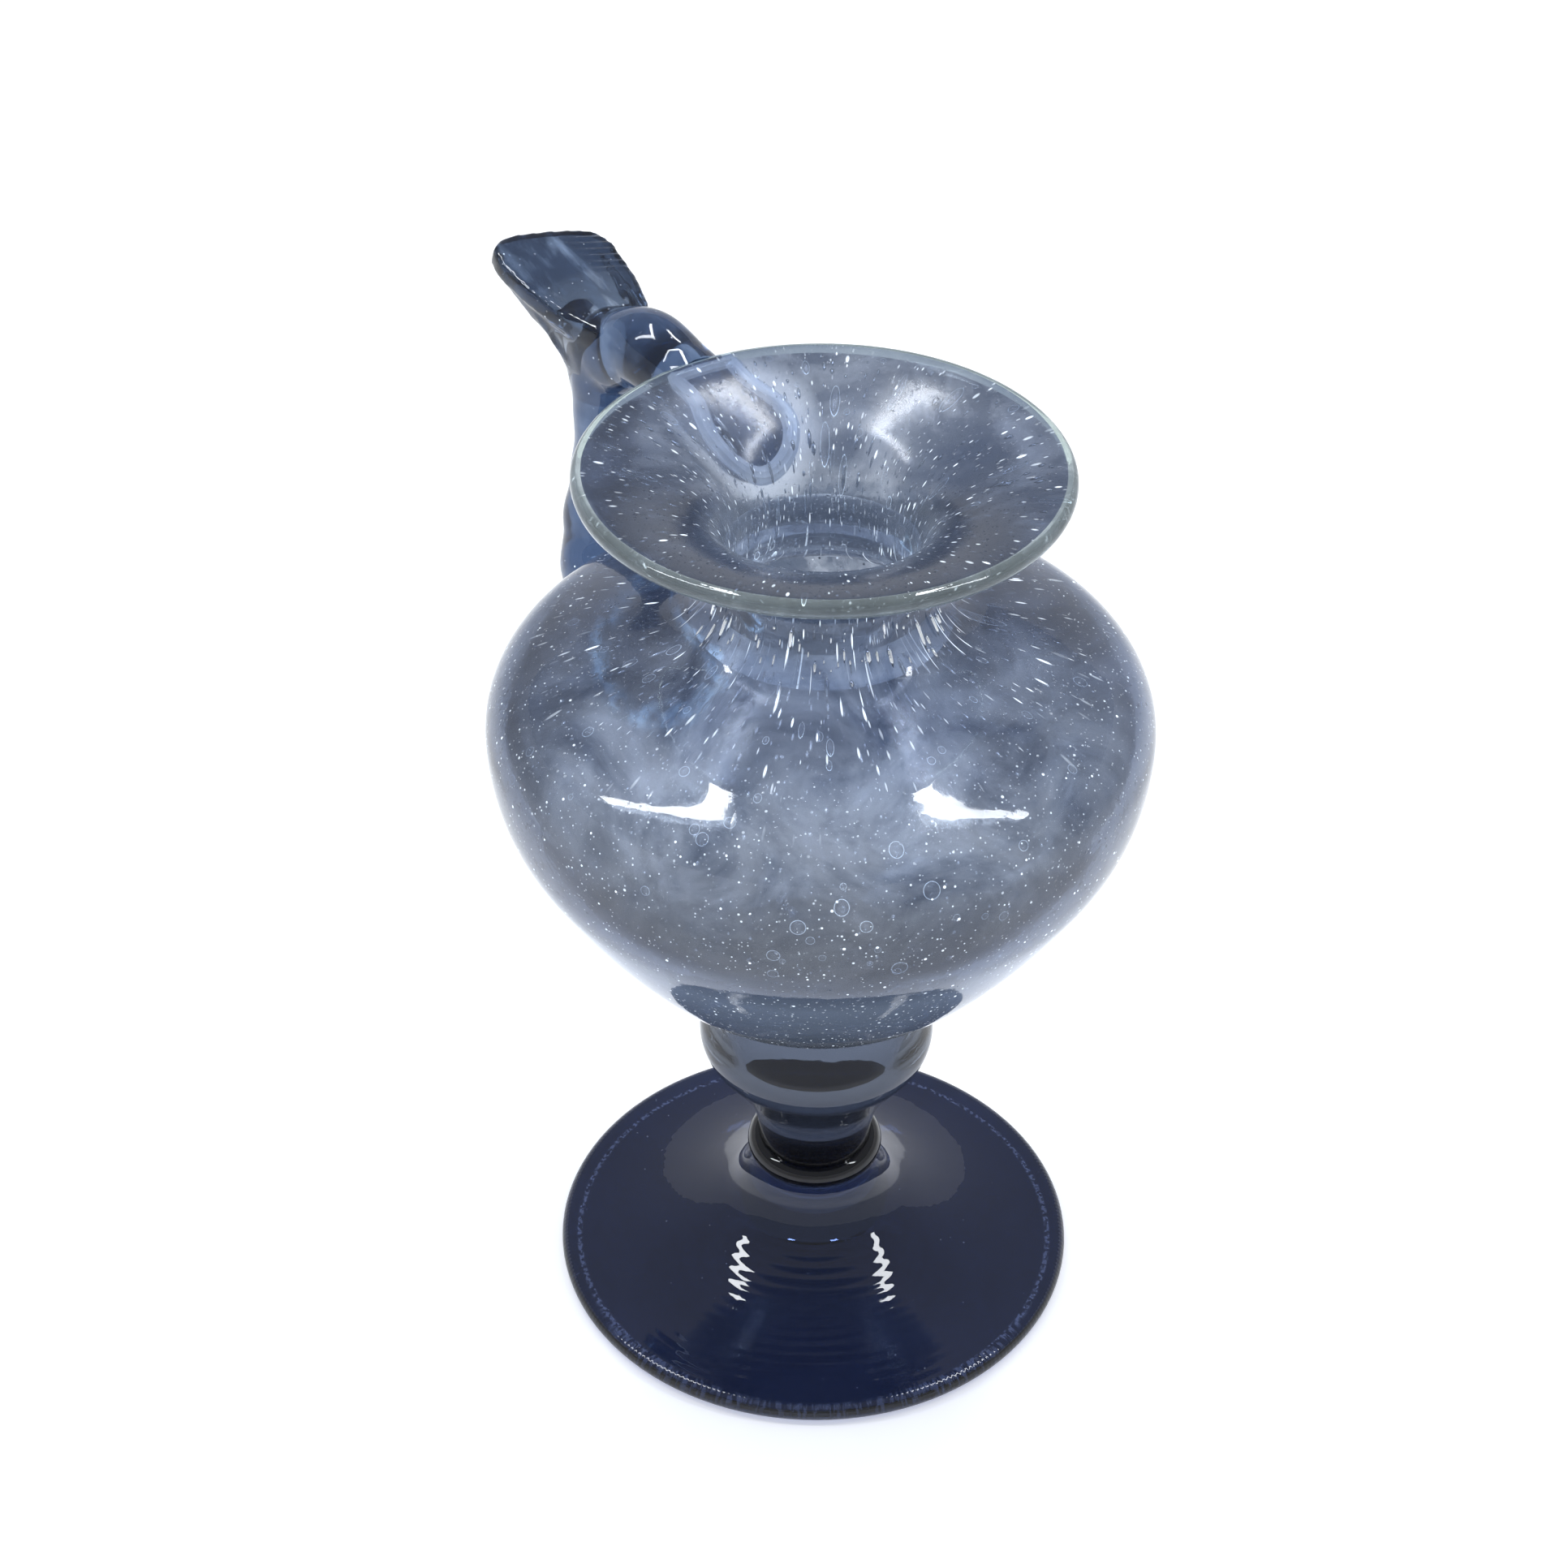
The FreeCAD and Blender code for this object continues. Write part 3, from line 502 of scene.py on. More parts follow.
def grown(mesh, tree, values):
    """The plain mesh that a tree makes of a mesh, with its inputs set by their identifiers."""
    worker = bpy.data.objects.new("worker", mesh)
    bpy.context.scene.collection.objects.link(worker)
    modifier = worker.modifiers.new("growth", "NODES")
    modifier.node_group = tree
    sockets = {item.name: item.identifier for item in tree.interface.items_tree if item.in_out == "INPUT"}
    for label, value in values.items():
        modifier[sockets[label]] = value
    return plain_mesh(worker)


def plain_mesh(worker):
    """The evaluated mesh of a helper object, which then goes."""
    graph = bpy.context.evaluated_depsgraph_get()
    graph.update()
    made = bpy.data.meshes.new_from_object(worker.evaluated_get(graph), preserve_all_data_layers=True, depsgraph=graph)
    source = worker.data
    bpy.data.objects.remove(worker)
    if source.users == 0:
        bpy.data.meshes.remove(source)
    return made


def turned(name, points, shape, material, waviness=0.0, ripple=0.0, seed=0.0):
    """A closed turned mesh from an outline that starts and ends on the axis."""
    outline = point_mesh(
        name + "_outline", [(point[0], 0.0, point[1]) for point in points],
        [(n, n + 1) for n in range(len(points) - 1)], wave=[point[2] for point in points],
        tint=[point[3] if len(point) > 3 else 1.0 for point in points],
    )
    mesh = grown(outline, tree_of("turned_glass", turned_tree), {
        "Segments": shape.segments, "Waviness": waviness, "Ripple height": ripple,
        "Ripple pitch": shape.ripple_pitch, "Seed": seed, "Material": material,
    })
    face_outwards(mesh)
    return mesh


def face_outwards(mesh, sharp=32.0):
    """Doubles merged, normals out of the glass, and edges sharper than the angle left sharp."""
    work = bmesh.new()
    work.from_mesh(mesh)
    bmesh.ops.remove_doubles(work, verts=work.verts, dist=1e-7)
    bmesh.ops.dissolve_degenerate(work, edges=work.edges, dist=1e-7)
    bmesh.ops.recalc_face_normals(work, faces=work.faces)
    if work.calc_volume(signed=True) < 0.0:
        bmesh.ops.reverse_faces(work, faces=work.faces)
    work.to_mesh(mesh)
    work.free()
    mesh.set_sharp_from_angle(angle=math.radians(sharp))


def painted(mesh, number):
    """All faces of a mesh given to one material slot."""
    mesh.polygons.foreach_set("material_index", [number] * len(mesh.polygons))
    return mesh


def together(meshes):
    """One mesh of several, each keeping its faces' slots."""
    work = bmesh.new()
    for mesh in meshes:
        work.from_mesh(mesh)
    for spare in meshes[1:]:
        bpy.data.meshes.remove(spare)
    work.to_mesh(meshes[0])
    work.free()
    return meshes[0]


def finish_piece(name, mesh, materials, node):
    """An object for a finished mesh, standing for its CAD node."""
    mesh.name = name
    slots = [face.material_index for face in mesh.polygons]
    mesh.materials.clear()
    for material in materials:
        mesh.materials.append(material)
    mesh.polygons.foreach_set("material_index", slots if len(materials) > 1 else [0] * len(slots))
    piece = bpy.data.objects.new(name, mesh)
    bpy.context.scene.collection.objects.link(piece)
    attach(piece, "root")
    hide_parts(node)
    return piece


# Materials


def shader_group(name, inputs, outputs):
    tree = bpy.data.node_groups.new(name, "ShaderNodeTree")
    for label, kind, value in inputs:
        tree.interface.new_socket(label, in_out="INPUT", socket_type=kind).default_value = value
    for label, kind in outputs:
        tree.interface.new_socket(label, in_out="OUTPUT", socket_type=kind)
    return tree, tree.nodes.new("NodeGroupInput").outputs, tree.nodes.new("NodeGroupOutput").inputs


def fine_seeds_group():
    """Specks of seed bubbles too small to model: a mask of bright dots, their height, and a painted glint that they
    emit.
    """
    tree, given, result = shader_group("fine_seeds", [
        ("Vector", "NodeSocketVector", (0.0, 0.0, 0.0)),
        ("Spacing", "NodeSocketFloat", 0.0016),
        ("Dot", "NodeSocketFloat", 0.16),
        ("Share", "NodeSocketFloat", 0.5),
    ], [("Mask", "NodeSocketFloat"), ("Height", "NodeSocketFloat"), ("Painted glint", "NodeSocketColor")])
    scale = maths(tree, "DIVIDE", 1.0, given["Spacing"])
    cells = add_node(tree, "ShaderNodeTexVoronoi", {"Vector": given["Vector"], "Scale": scale}).outputs
    lucky = add_node(tree, "ShaderNodeSeparateColor", {0: cells["Color"]}).outputs
    size = maths(tree, "MULTIPLY", given["Dot"], maths(tree, "ADD", 0.45, maths(tree, "MULTIPLY", lucky[1], 0.55)))
    inside = add_node(tree, "ShaderNodeMapRange", {
        "Value": cells["Distance"], "From Min": maths(tree, "MULTIPLY", size, 0.55), "From Max": size,
        "To Min": 1.0, "To Max": 0.0,
    }).outputs[0]
    kept = maths(tree, "LESS_THAN", lucky[0], given["Share"])
    mask = maths(tree, "MULTIPLY", inside, kept)
    tree.links.new(mask, result["Mask"])
    tree.links.new(mask, result["Height"])
    # Painted highlight: the glint is an emitted colour standing in for light caught in the seed bubbles.
    light = maths(tree, "MULTIPLY", mask, maths(tree, "POWER", lucky[2], 2.2))
    painted_light = add_node(tree, "ShaderNodeVectorMath", {0: (0.80, 0.90, 1.0), "Scale": light}, operation="SCALE").outputs[0]
    tree.links.new(painted_light, result["Painted glint"])
    return tree


def cords_group():
    """Slow streaks and clouds in hand-worked glass: a tint and a height that follow the turning."""
    tree, given, result = shader_group("glass_cords", [
        ("Vector", "NodeSocketVector", (0.0, 0.0, 0.0)),
        ("Tint", "NodeSocketColor", (0.3, 0.3, 0.4, 1.0)),
        ("Depth", "NodeSocketFloat", 0.25),
        ("Scale", "NodeSocketFloat", 60.0),
    ], [("Tint", "NodeSocketColor"), ("Height", "NodeSocketFloat")])
    clouds = add_node(tree, "ShaderNodeTexNoise", {
        "Vector": given["Vector"], "Scale": given["Scale"], "Detail": 4.0, "Roughness": 0.6, "Distortion": 0.7,
    }).outputs["Fac"]
    wide = maths(tree, "MULTIPLY", maths(tree, "SUBTRACT", clouds, 0.5), maths(tree, "MULTIPLY", given["Depth"], 2.0))
    level = maths(tree, "ADD", 1.0, wide)
    tinted = add_node(tree, "ShaderNodeVectorMath", {0: given["Tint"], "Scale": level}, operation="SCALE").outputs[0]
    tree.links.new(tinted, result["Tint"])
    tree.links.new(clouds, result["Height"])
    return tree


def streaks_group():
    """Short fine dashes, seed bubbles drawn out along the wall: a mask and a painted glint of light that they emit."""
    tree, given, result = shader_group("drawn_streaks", [
        ("Vector", "NodeSocketVector", (0.0, 0.0, 0.0)),
        ("Number", "NodeSocketFloat", 26.0),
        ("Length", "NodeSocketFloat", 220.0),
        ("Dot", "NodeSocketFloat", 0.17),
    ], [("Mask", "NodeSocketFloat"), ("Painted glint", "NodeSocketColor")])
    split = add_node(tree, "ShaderNodeSeparateXYZ", {0: given["Vector"]}).outputs
    flat = add_node(tree, "ShaderNodeCombineXYZ", {"X": split[0], "Y": split[1]}).outputs[0]
    way = add_node(tree, "ShaderNodeVectorMath", {0: flat}, operation="NORMALIZE").outputs[0]
    round_it = add_node(tree, "ShaderNodeVectorMath", {0: way, "Scale": given["Number"]}, operation="SCALE").outputs[0]
    radius = add_node(tree, "ShaderNodeVectorMath", {0: flat}, operation="LENGTH").outputs["Value"]
    along = maths(tree, "MULTIPLY", maths(tree, "ADD", split[2], radius), given["Length"])
    lifted = add_node(tree, "ShaderNodeCombineXYZ", {"Z": along}).outputs[0]
    spot = add_node(tree, "ShaderNodeVectorMath", {0: round_it, 1: lifted}, operation="ADD").outputs[0]
    cells = add_node(tree, "ShaderNodeTexVoronoi", {"Vector": spot, "Scale": 1.0}).outputs
    lucky = add_node(tree, "ShaderNodeSeparateColor", {0: cells["Color"]}).outputs
    size = maths(tree, "MULTIPLY", given["Dot"], maths(tree, "ADD", 0.4, maths(tree, "MULTIPLY", lucky[1], 0.6)))
    mask = add_node(tree, "ShaderNodeMapRange", {
        "Value": cells["Distance"], "From Min": maths(tree, "MULTIPLY", size, 0.6), "From Max": size,
        "To Min": 1.0, "To Max": 0.0,
    }).outputs[0]
    tree.links.new(mask, result["Mask"])
    # Painted highlight: the dashes' glint is an emitted colour, not light from the lamps.
    light = maths(tree, "MULTIPLY", mask, lucky[2])
    painted_light = add_node(tree, "ShaderNodeVectorMath", {0: (0.80, 0.90, 1.0), "Scale": light}, operation="SCALE").outputs[0]
    tree.links.new(painted_light, result["Painted glint"])
    return tree


def group_node(tree, name, build, values):
    node = tree.nodes.new("ShaderNodeGroup")
    node.node_tree = bpy.data.node_groups.get(name) or build()
    for label, value in values.items():
        if isinstance(value, bpy.types.NodeSocket):
            tree.links.new(value, node.inputs[label])
        else:
            node.inputs[label].default_value = value
    return node.outputs


def mixed(tree, factor, first, second):
    node = tree.nodes.new("ShaderNodeMix")
    node.data_type = "RGBA"
    for slot, value in ((0, factor), (6, first), (7, second)):
        if isinstance(value, bpy.types.NodeSocket):
            tree.links.new(value, node.inputs[slot])
        else:
            node.inputs[slot].default_value = value
    return node.outputs[2]


def ramp_between(tree, value, low, high):
    return add_node(tree, "ShaderNodeMapRange", {"Value": value, "From Min": low, "From Max": high}).outputs[0]


def glass(name, clearness=1.0, lamp_tint=(0.7, 0.72, 0.8, 1.0)):
    """A glass material whose shadow lets lamps through. Returns it with its tree and shader."""
    material = bpy.data.materials.new(name)
    material.use_nodes = True
    tree = material.node_tree
    shader = tree.nodes["Principled BSDF"]
    shader.inputs["Metallic"].default_value = 0.0
    shader.inputs["Transmission Weight"].default_value = clearness
    shader.inputs["IOR"].default_value = 1.5
    shader.inputs["Roughness"].default_value = 0.015
    lamp = add_node(tree, "ShaderNodeBsdfTransparent", {"Color": lamp_tint})
    path = tree.nodes.new("ShaderNodeLightPath")
    mix = tree.nodes.new("ShaderNodeMixShader")
    tree.links.new(path.outputs["Is Shadow Ray"], mix.inputs[0])
    tree.links.new(shader.outputs[0], mix.inputs[1])
    tree.links.new(lamp.outputs[0], mix.inputs[2])
    tree.links.new(mix.outputs[0], tree.nodes["Material Output"].inputs["Surface"])
    place = add_node(tree, "ShaderNodeTexCoord").outputs["Object"]
    return material, tree, shader, place


def colour4(value):
    return (value[0], value[1], value[2], 1.0)


def bump_into(tree, shader, height, distance, strength=1.0):
    bump = add_node(tree, "ShaderNodeBump", {"Height": height, "Distance": distance, "Strength": strength})
    tree.links.new(bump.outputs[0], shader.inputs["Normal"])


def added(tree, first, second):
    return add_node(tree, "ShaderNodeVectorMath", {0: first, 1: second}, operation="ADD").outputs[0]


def scaled_by(tree, colour, factor):
    return add_node(tree, "ShaderNodeVectorMath", {0: colour, "Scale": factor}, operation="SCALE").outputs[0]


def reach_from_axis(tree, split):
    return maths(tree, "SQRT", maths(tree, "ADD", maths(tree, "POWER", split[0], 2.0), maths(tree, "POWER", split[1], 2.0)))


def near_neck(tree, place):
    """1 where the wall is narrow and the bubbles are drawn out, 0 on the round of the bowl."""
    split = add_node(tree, "ShaderNodeSeparateXYZ", {0: place}).outputs
    radius = reach_from_axis(tree, split)
    return maths(tree, "MULTIPLY", ramp_between(tree, radius, 42.0 * MM, 30.0 * MM), ramp_between(tree, split[2], 104.0 * MM, 112.0 * MM))


def skin_glass(colours):
    """The skin of the reservoir's wall that the eye meets first, deeper in colour where it turns away."""
    material, tree, shader, place = glass("bubble_glass_skin", 0.77)
    split = add_node(tree, "ShaderNodeSeparateXYZ", {0: place}).outputs
    facing = add_node(tree, "ShaderNodeLayerWeight", {"Blend": 0.5}).outputs["Facing"]
    clouds = add_node(tree, "ShaderNodeTexNoise", {
        "Vector": place, "Scale": 58.0, "Detail": 5.0, "Roughness": 0.66, "Distortion": 0.8,
    }).outputs["Fac"]
    low = ramp_between(tree, split[2], 80.0 * MM, 64.0 * MM)
    radius = reach_from_axis(tree, split)
    inside = maths(tree, "MAXIMUM", ramp_between(tree, radius, 15.0 * MM, 14.0 * MM), ramp_between(tree, split[2], 128.5 * MM, 129.5 * MM))
    throat = maths(tree, "MULTIPLY", ramp_between(tree, split[2], 138.0 * MM, 134.0 * MM), ramp_between(tree, split[2], 117.0 * MM, 121.0 * MM))
    throat = maths(tree, "MULTIPLY", throat, inside)
    pale = maths(tree, "MAXIMUM", ramp_between(tree, clouds, 0.35, 0.60), maths(tree, "MULTIPLY", throat, 0.65))
    tint = mixed(tree, pale, (0.26, 0.33, 0.47, 1.0), (0.80, 0.89, 1.0, 1.0))
    tint = mixed(tree, maths(tree, "MULTIPLY", low, 0.85), tint, (0.30, 0.35, 0.41, 1.0))
    # Painted shade: the outside of the neck, under the cup's overhang, is tinted darker.
    shade_under_cup = maths(tree, "MULTIPLY", ramp_between(tree, split[2], 119.0 * MM, 128.5 * MM), maths(tree, "SUBTRACT", 1.0, inside))
    tint = mixed(tree, maths(tree, "MULTIPLY", shade_under_cup, 0.9), tint, (0.09, 0.12, 0.19, 1.0))
    cup = ramp_between(tree, split[2], 129.0 * MM, 135.0 * MM)
    tint = mixed(tree, maths(tree, "MULTIPLY", cup, 0.6), tint, (0.10, 0.13, 0.22, 1.0))
    away = maths(tree, "MULTIPLY", ramp_between(tree, facing, 0.12, 0.52), maths(tree, "SUBTRACT", 1.0, throat))
    tint = mixed(tree, away, tint, (0.065, 0.090, 0.155, 1.0))
    neck = near_neck(tree, place)
    bowl = maths(tree, "SUBTRACT", 1.0, neck)
    # Painted highlights: the seeds' and dashes' glints below are summed into the skin's emission colour.
    painted_light, height = None, None
    for spacing, dot, light in ((1.25 * MM, 0.21, 2.4), (0.66 * MM, 0.26, 1.1)):
        seeds = group_node(tree, "fine_seeds", fine_seeds_group, {
            "Vector": place, "Spacing": spacing, "Dot": dot, "Share": 0.8,
        })
        part = scaled_by(tree, seeds["Painted glint"], maths(tree, "MULTIPLY", bowl, light))
        painted_light = part if painted_light is None else added(tree, painted_light, part)
        height = seeds["Height"] if height is None else maths(tree, "ADD", height, seeds["Height"])
    for number, length, dot, light in ((19.0, 190.0, 0.20, 1.7), (33.0, 300.0, 0.20, 1.3)):
        streaks = group_node(tree, "drawn_streaks", streaks_group, {
            "Vector": place, "Number": number, "Length": length, "Dot": dot,
        })
        painted_light = added(tree, painted_light, scaled_by(tree, streaks["Painted glint"], maths(tree, "MULTIPLY", neck, light)))
        height = maths(tree, "ADD", height, maths(tree, "MULTIPLY", streaks["Mask"], neck))
    tree.links.new(tint, shader.inputs["Base Color"])
    # Painted light: a faint emitted glow over the lower bowl, standing in for lit haze.
    painted_glow = maths(tree, "MULTIPLY", ramp_between(tree, split[2], 93.0 * MM, 83.0 * MM), ramp_between(tree, split[2], 60.0 * MM, 82.0 * MM))
    painted_light = added(tree, painted_light, scaled_by(tree, (0.090, 0.113, 0.150), painted_glow))
    # Painted highlight: bright emitted clouds on the shoulders, standing in for soft reflections of the lamps.
    painted_shine = maths(tree, "MULTIPLY", ramp_between(tree, clouds, 0.30, 0.74), ramp_between(tree, split[2], 84.0 * MM, 104.0 * MM))
    painted_shine = maths(tree, "MULTIPLY", painted_shine, ramp_between(tree, split[2], 126.0 * MM, 116.0 * MM))
    painted_shine = maths(tree, "MULTIPLY", painted_shine, maths(tree, "SUBTRACT", 1.0, maths(tree, "MULTIPLY", away, 0.7)))
    painted_light = added(tree, painted_light, scaled_by(tree, (0.095, 0.113, 0.158), painted_shine))
    # All of the emission colour on the skin is painted light.
    tree.links.new(painted_light, shader.inputs["Emission Color"])
    shader.inputs["Emission Strength"].default_value = 1.0
    in_cup = ramp_between(tree, split[2], 129.0 * MM, 134.0 * MM)
    tree.links.new(maths(tree, "ADD", 0.05, maths(tree, "MULTIPLY", in_cup, 0.13)), shader.inputs["Roughness"])
    fine = add_node(tree, "ShaderNodeTexNoise", {"Vector": place, "Scale": 300.0, "Detail": 2.0}).outputs["Fac"]
    bump_into(tree, shader, maths(tree, "ADD", fine, height), 0.03 * MM)
    return material


def cloud_glass(colours):
    """The far skin of the wall: dark, with pale clouds, specks of bubbles too fine to model, and a painted glowing ring
    round the handle's lower end.
    """
    material, tree, shader, place = glass("bubble_glass_cloud", 0.78)
    tint = colour4(colours.bubble_tint)
    clouds = add_node(tree, "ShaderNodeTexNoise", {
        "Vector": place, "Scale": 62.0, "Detail": 5.0, "Roughness": 0.62, "Distortion": 0.9,
    }).outputs["Fac"]
    pale = maths(tree, "MULTIPLY", ramp_between(tree, clouds, 0.46, 0.70), 0.6)
    tint = mixed(tree, pale, tint, (0.70, 0.75, 0.84, 1.0))
    seeds = group_node(tree, "fine_seeds", fine_seeds_group, {
        "Vector": place, "Spacing": 0.9 * MM, "Dot": 0.17, "Share": 0.5,
    })
    tint = mixed(tree, seeds["Mask"], tint, (0.98, 0.99, 1.0, 1.0))
    patch = add_node(tree, "ShaderNodeVectorMath", {0: place, 1: PATCH_CENTRE}, operation="DISTANCE").outputs["Value"]
    tint = mixed(tree, ramp_between(tree, patch, 12.0 * MM, 9.0 * MM), tint, (0.80, 0.85, 0.92, 1.0))
    # Painted highlight: a pale blue ring round the handle's lower end, glowing by its own emission.
    reach = add_node(tree, "ShaderNodeVectorMath", {0: place, 1: ROOT_CENTRE}, operation="DISTANCE").outputs["Value"]
    ring = maths(tree, "MULTIPLY", ramp_between(tree, reach, 8.6 * MM, 10.2 * MM), ramp_between(tree, reach, 13.4 * MM, 11.8 * MM))
    wisps = add_node(tree, "ShaderNodeTexNoise", {"Vector": place, "Scale": 420.0, "Detail": 3.0}).outputs["Fac"]
    ring = maths(tree, "MULTIPLY", ring, ramp_between(tree, wisps, 0.38, 0.62))
    tint = mixed(tree, ring, tint, (0.62, 0.80, 0.98, 1.0))
    tree.links.new(tint, shader.inputs["Base Color"])
    tree.links.new(scaled_by(tree, (0.50, 0.76, 1.0), ring), shader.inputs["Emission Color"])
    shader.inputs["Emission Strength"].default_value = 1.3
    bump_into(tree, shader, clouds, 0.10 * MM)
    shader.inputs["Roughness"].default_value = 0.07
    return material


def lip_glass(colours):
    """The thick pale edge of the cup: its green-grey is the glass's own, its paleness is painted light."""
    material, tree, shader, place = glass("lip_glass", 0.78)
    cords = group_node(tree, "glass_cords", cords_group, {
        "Vector": place, "Tint": colour4(colours.lip_tint), "Depth": 0.3, "Scale": 160.0,
    })
    # Partly painted light: the lip's tint is lighter than the glass, standing in for light caught in the thick edge.
    tree.links.new(cords["Tint"], shader.inputs["Base Color"])
    bump_into(tree, shader, cords["Height"], 0.06 * MM)
    return material


def bubble_hollow(colours):
    """The skin of the larger bubbles: clear in the middle and silvery where it turns away, with a painted highlight
    glowing on the rim.
    """
    material = bpy.data.materials.new("bubble_hollow")
    material.use_nodes = True
    tree = material.node_tree
    shader = tree.nodes["Principled BSDF"]
    place = add_node(tree, "ShaderNodeTexCoord").outputs["Object"]
    cords = group_node(tree, "glass_cords", cords_group, {
        "Vector": place, "Tint": (0.88, 0.93, 1.0, 1.0), "Depth": 0.2, "Scale": 500.0,
    })
    tree.links.new(cords["Tint"], shader.inputs["Base Color"])
    facing = add_node(tree, "ShaderNodeLayerWeight", {"Blend": 0.5}).outputs["Facing"]
    rim = ramp_between(tree, facing, 0.45, 0.75)
    tree.links.new(maths(tree, "ADD", 0.08, maths(tree, "MULTIPLY", rim, 0.92)), shader.inputs["Alpha"])
    # Painted highlight: the rim emits its own pale light.
    tree.links.new(scaled_by(tree, (0.80, 0.90, 1.0), rim), shader.inputs["Emission Color"])
    shader.inputs["Emission Strength"].default_value = 0.9
    shader.inputs["Metallic"].default_value = 1.0
    shader.inputs["Roughness"].default_value = 0.12
    return material


def bubble_silver(colours):
    """The skin of the seed bubbles, which mirror the light round them."""
    material = bpy.data.materials.new("bubble_silver")
    material.use_nodes = True
    tree = material.node_tree
    shader = tree.nodes["Principled BSDF"]
    place = add_node(tree, "ShaderNodeTexCoord").outputs["Object"]
    cords = group_node(tree, "glass_cords", cords_group, {
        "Vector": place, "Tint": (0.90, 0.94, 1.0, 1.0), "Depth": 0.25, "Scale": 900.0,
    })
    tree.links.new(cords["Tint"], shader.inputs["Base Color"])
    shader.inputs["Metallic"].default_value = 1.0
    shader.inputs["Roughness"].default_value = 0.18
    return material


def clear_glass(colours):
    """The foot's and the stem's glass: dark and clean, with a worn resting ring and fine seeds."""
    material, tree, shader, place = glass("clear_glass_stem", lamp_tint=(0.5, 0.53, 0.65, 1.0))
    cords = group_node(tree, "glass_cords", cords_group, {
        "Vector": place, "Tint": colour4(colours.clear_tint), "Depth": 0.3, "Scale": 55.0,
    })
    seeds = group_node(tree, "fine_seeds", fine_seeds_group, {
        "Vector": place, "Spacing": 2.2 * MM, "Dot": 0.09, "Share": 0.3,
    })
    split = add_node(tree, "ShaderNodeSeparateXYZ", {0: place}).outputs
    radius = maths(tree, "SQRT", maths(tree, "ADD", maths(tree, "POWER", split[0], 2.0), maths(tree, "POWER", split[1], 2.0)))
    low = ramp_between(tree, split[2], 0.25 * MM, 0.05 * MM)
    ring = maths(tree, "MULTIPLY", ramp_between(tree, radius, 36.7 * MM, 37.0 * MM), ramp_between(tree, radius, 37.7 * MM, 37.4 * MM))
    ring = maths(tree, "MULTIPLY", low, ring)
    specks = add_node(tree, "ShaderNodeTexNoise", {"Vector": place, "Scale": 1500.0, "Detail": 2.0}).outputs["Fac"]
    worn = maths(tree, "MULTIPLY", ring, ramp_between(tree, specks, 0.45, 0.6))
    tint = mixed(tree, seeds["Mask"], cords["Tint"], (0.8, 0.85, 1.0, 1.0))
    tint = mixed(tree, worn, tint, (0.42, 0.46, 0.56, 1.0))
    reach = add_node(tree, "ShaderNodeVectorMath", {0: place, 1: (0.0, 0.0, BOTTOM_CENTRE)}, operation="DISTANCE").outputs["Value"]
    tint = mixed(tree, ramp_between(tree, split[2], 19.0 * MM, 22.0 * MM), tint, (0.028, 0.036, 0.058, 1.0))
    # Painted light: the top of the knop is tinted lighter slate than the rest of the stem.
    upper = ramp_between(tree, split[2], 44.0 * MM, 51.5 * MM)
    tint = mixed(tree, upper, tint, (0.26, 0.31, 0.40, 1.0))
    seat = ramp_between(tree, reach, BOTTOM_RADIUS + 0.3 * MM, BOTTOM_RADIUS)
    tint = mixed(tree, seat, tint, (0.95, 0.97, 1.0, 1.0))
    tree.links.new(tint, shader.inputs["Base Color"])
    tree.links.new(maths(tree, "ADD", 0.012, maths(tree, "MULTIPLY", worn, 0.5)), shader.inputs["Roughness"])
    angle = maths(tree, "ARCTAN2", split[1], split[0])
    spokes = maths(tree, "SINE", maths(tree, "MULTIPLY", angle, 300.0))
    spokes = maths(tree, "MULTIPLY", spokes, ramp_between(tree, radius, 37.5 * MM, 39.0 * MM))
    fine = add_node(tree, "ShaderNodeTexNoise", {"Vector": place, "Scale": 260.0, "Detail": 2.0}).outputs["Fac"]
    relief = maths(tree, "ADD", maths(tree, "MULTIPLY", spokes, 0.3), fine)
    relief = maths(tree, "ADD", relief, seeds["Height"])
    bump_into(tree, shader, relief, 0.025 * MM)
    return material


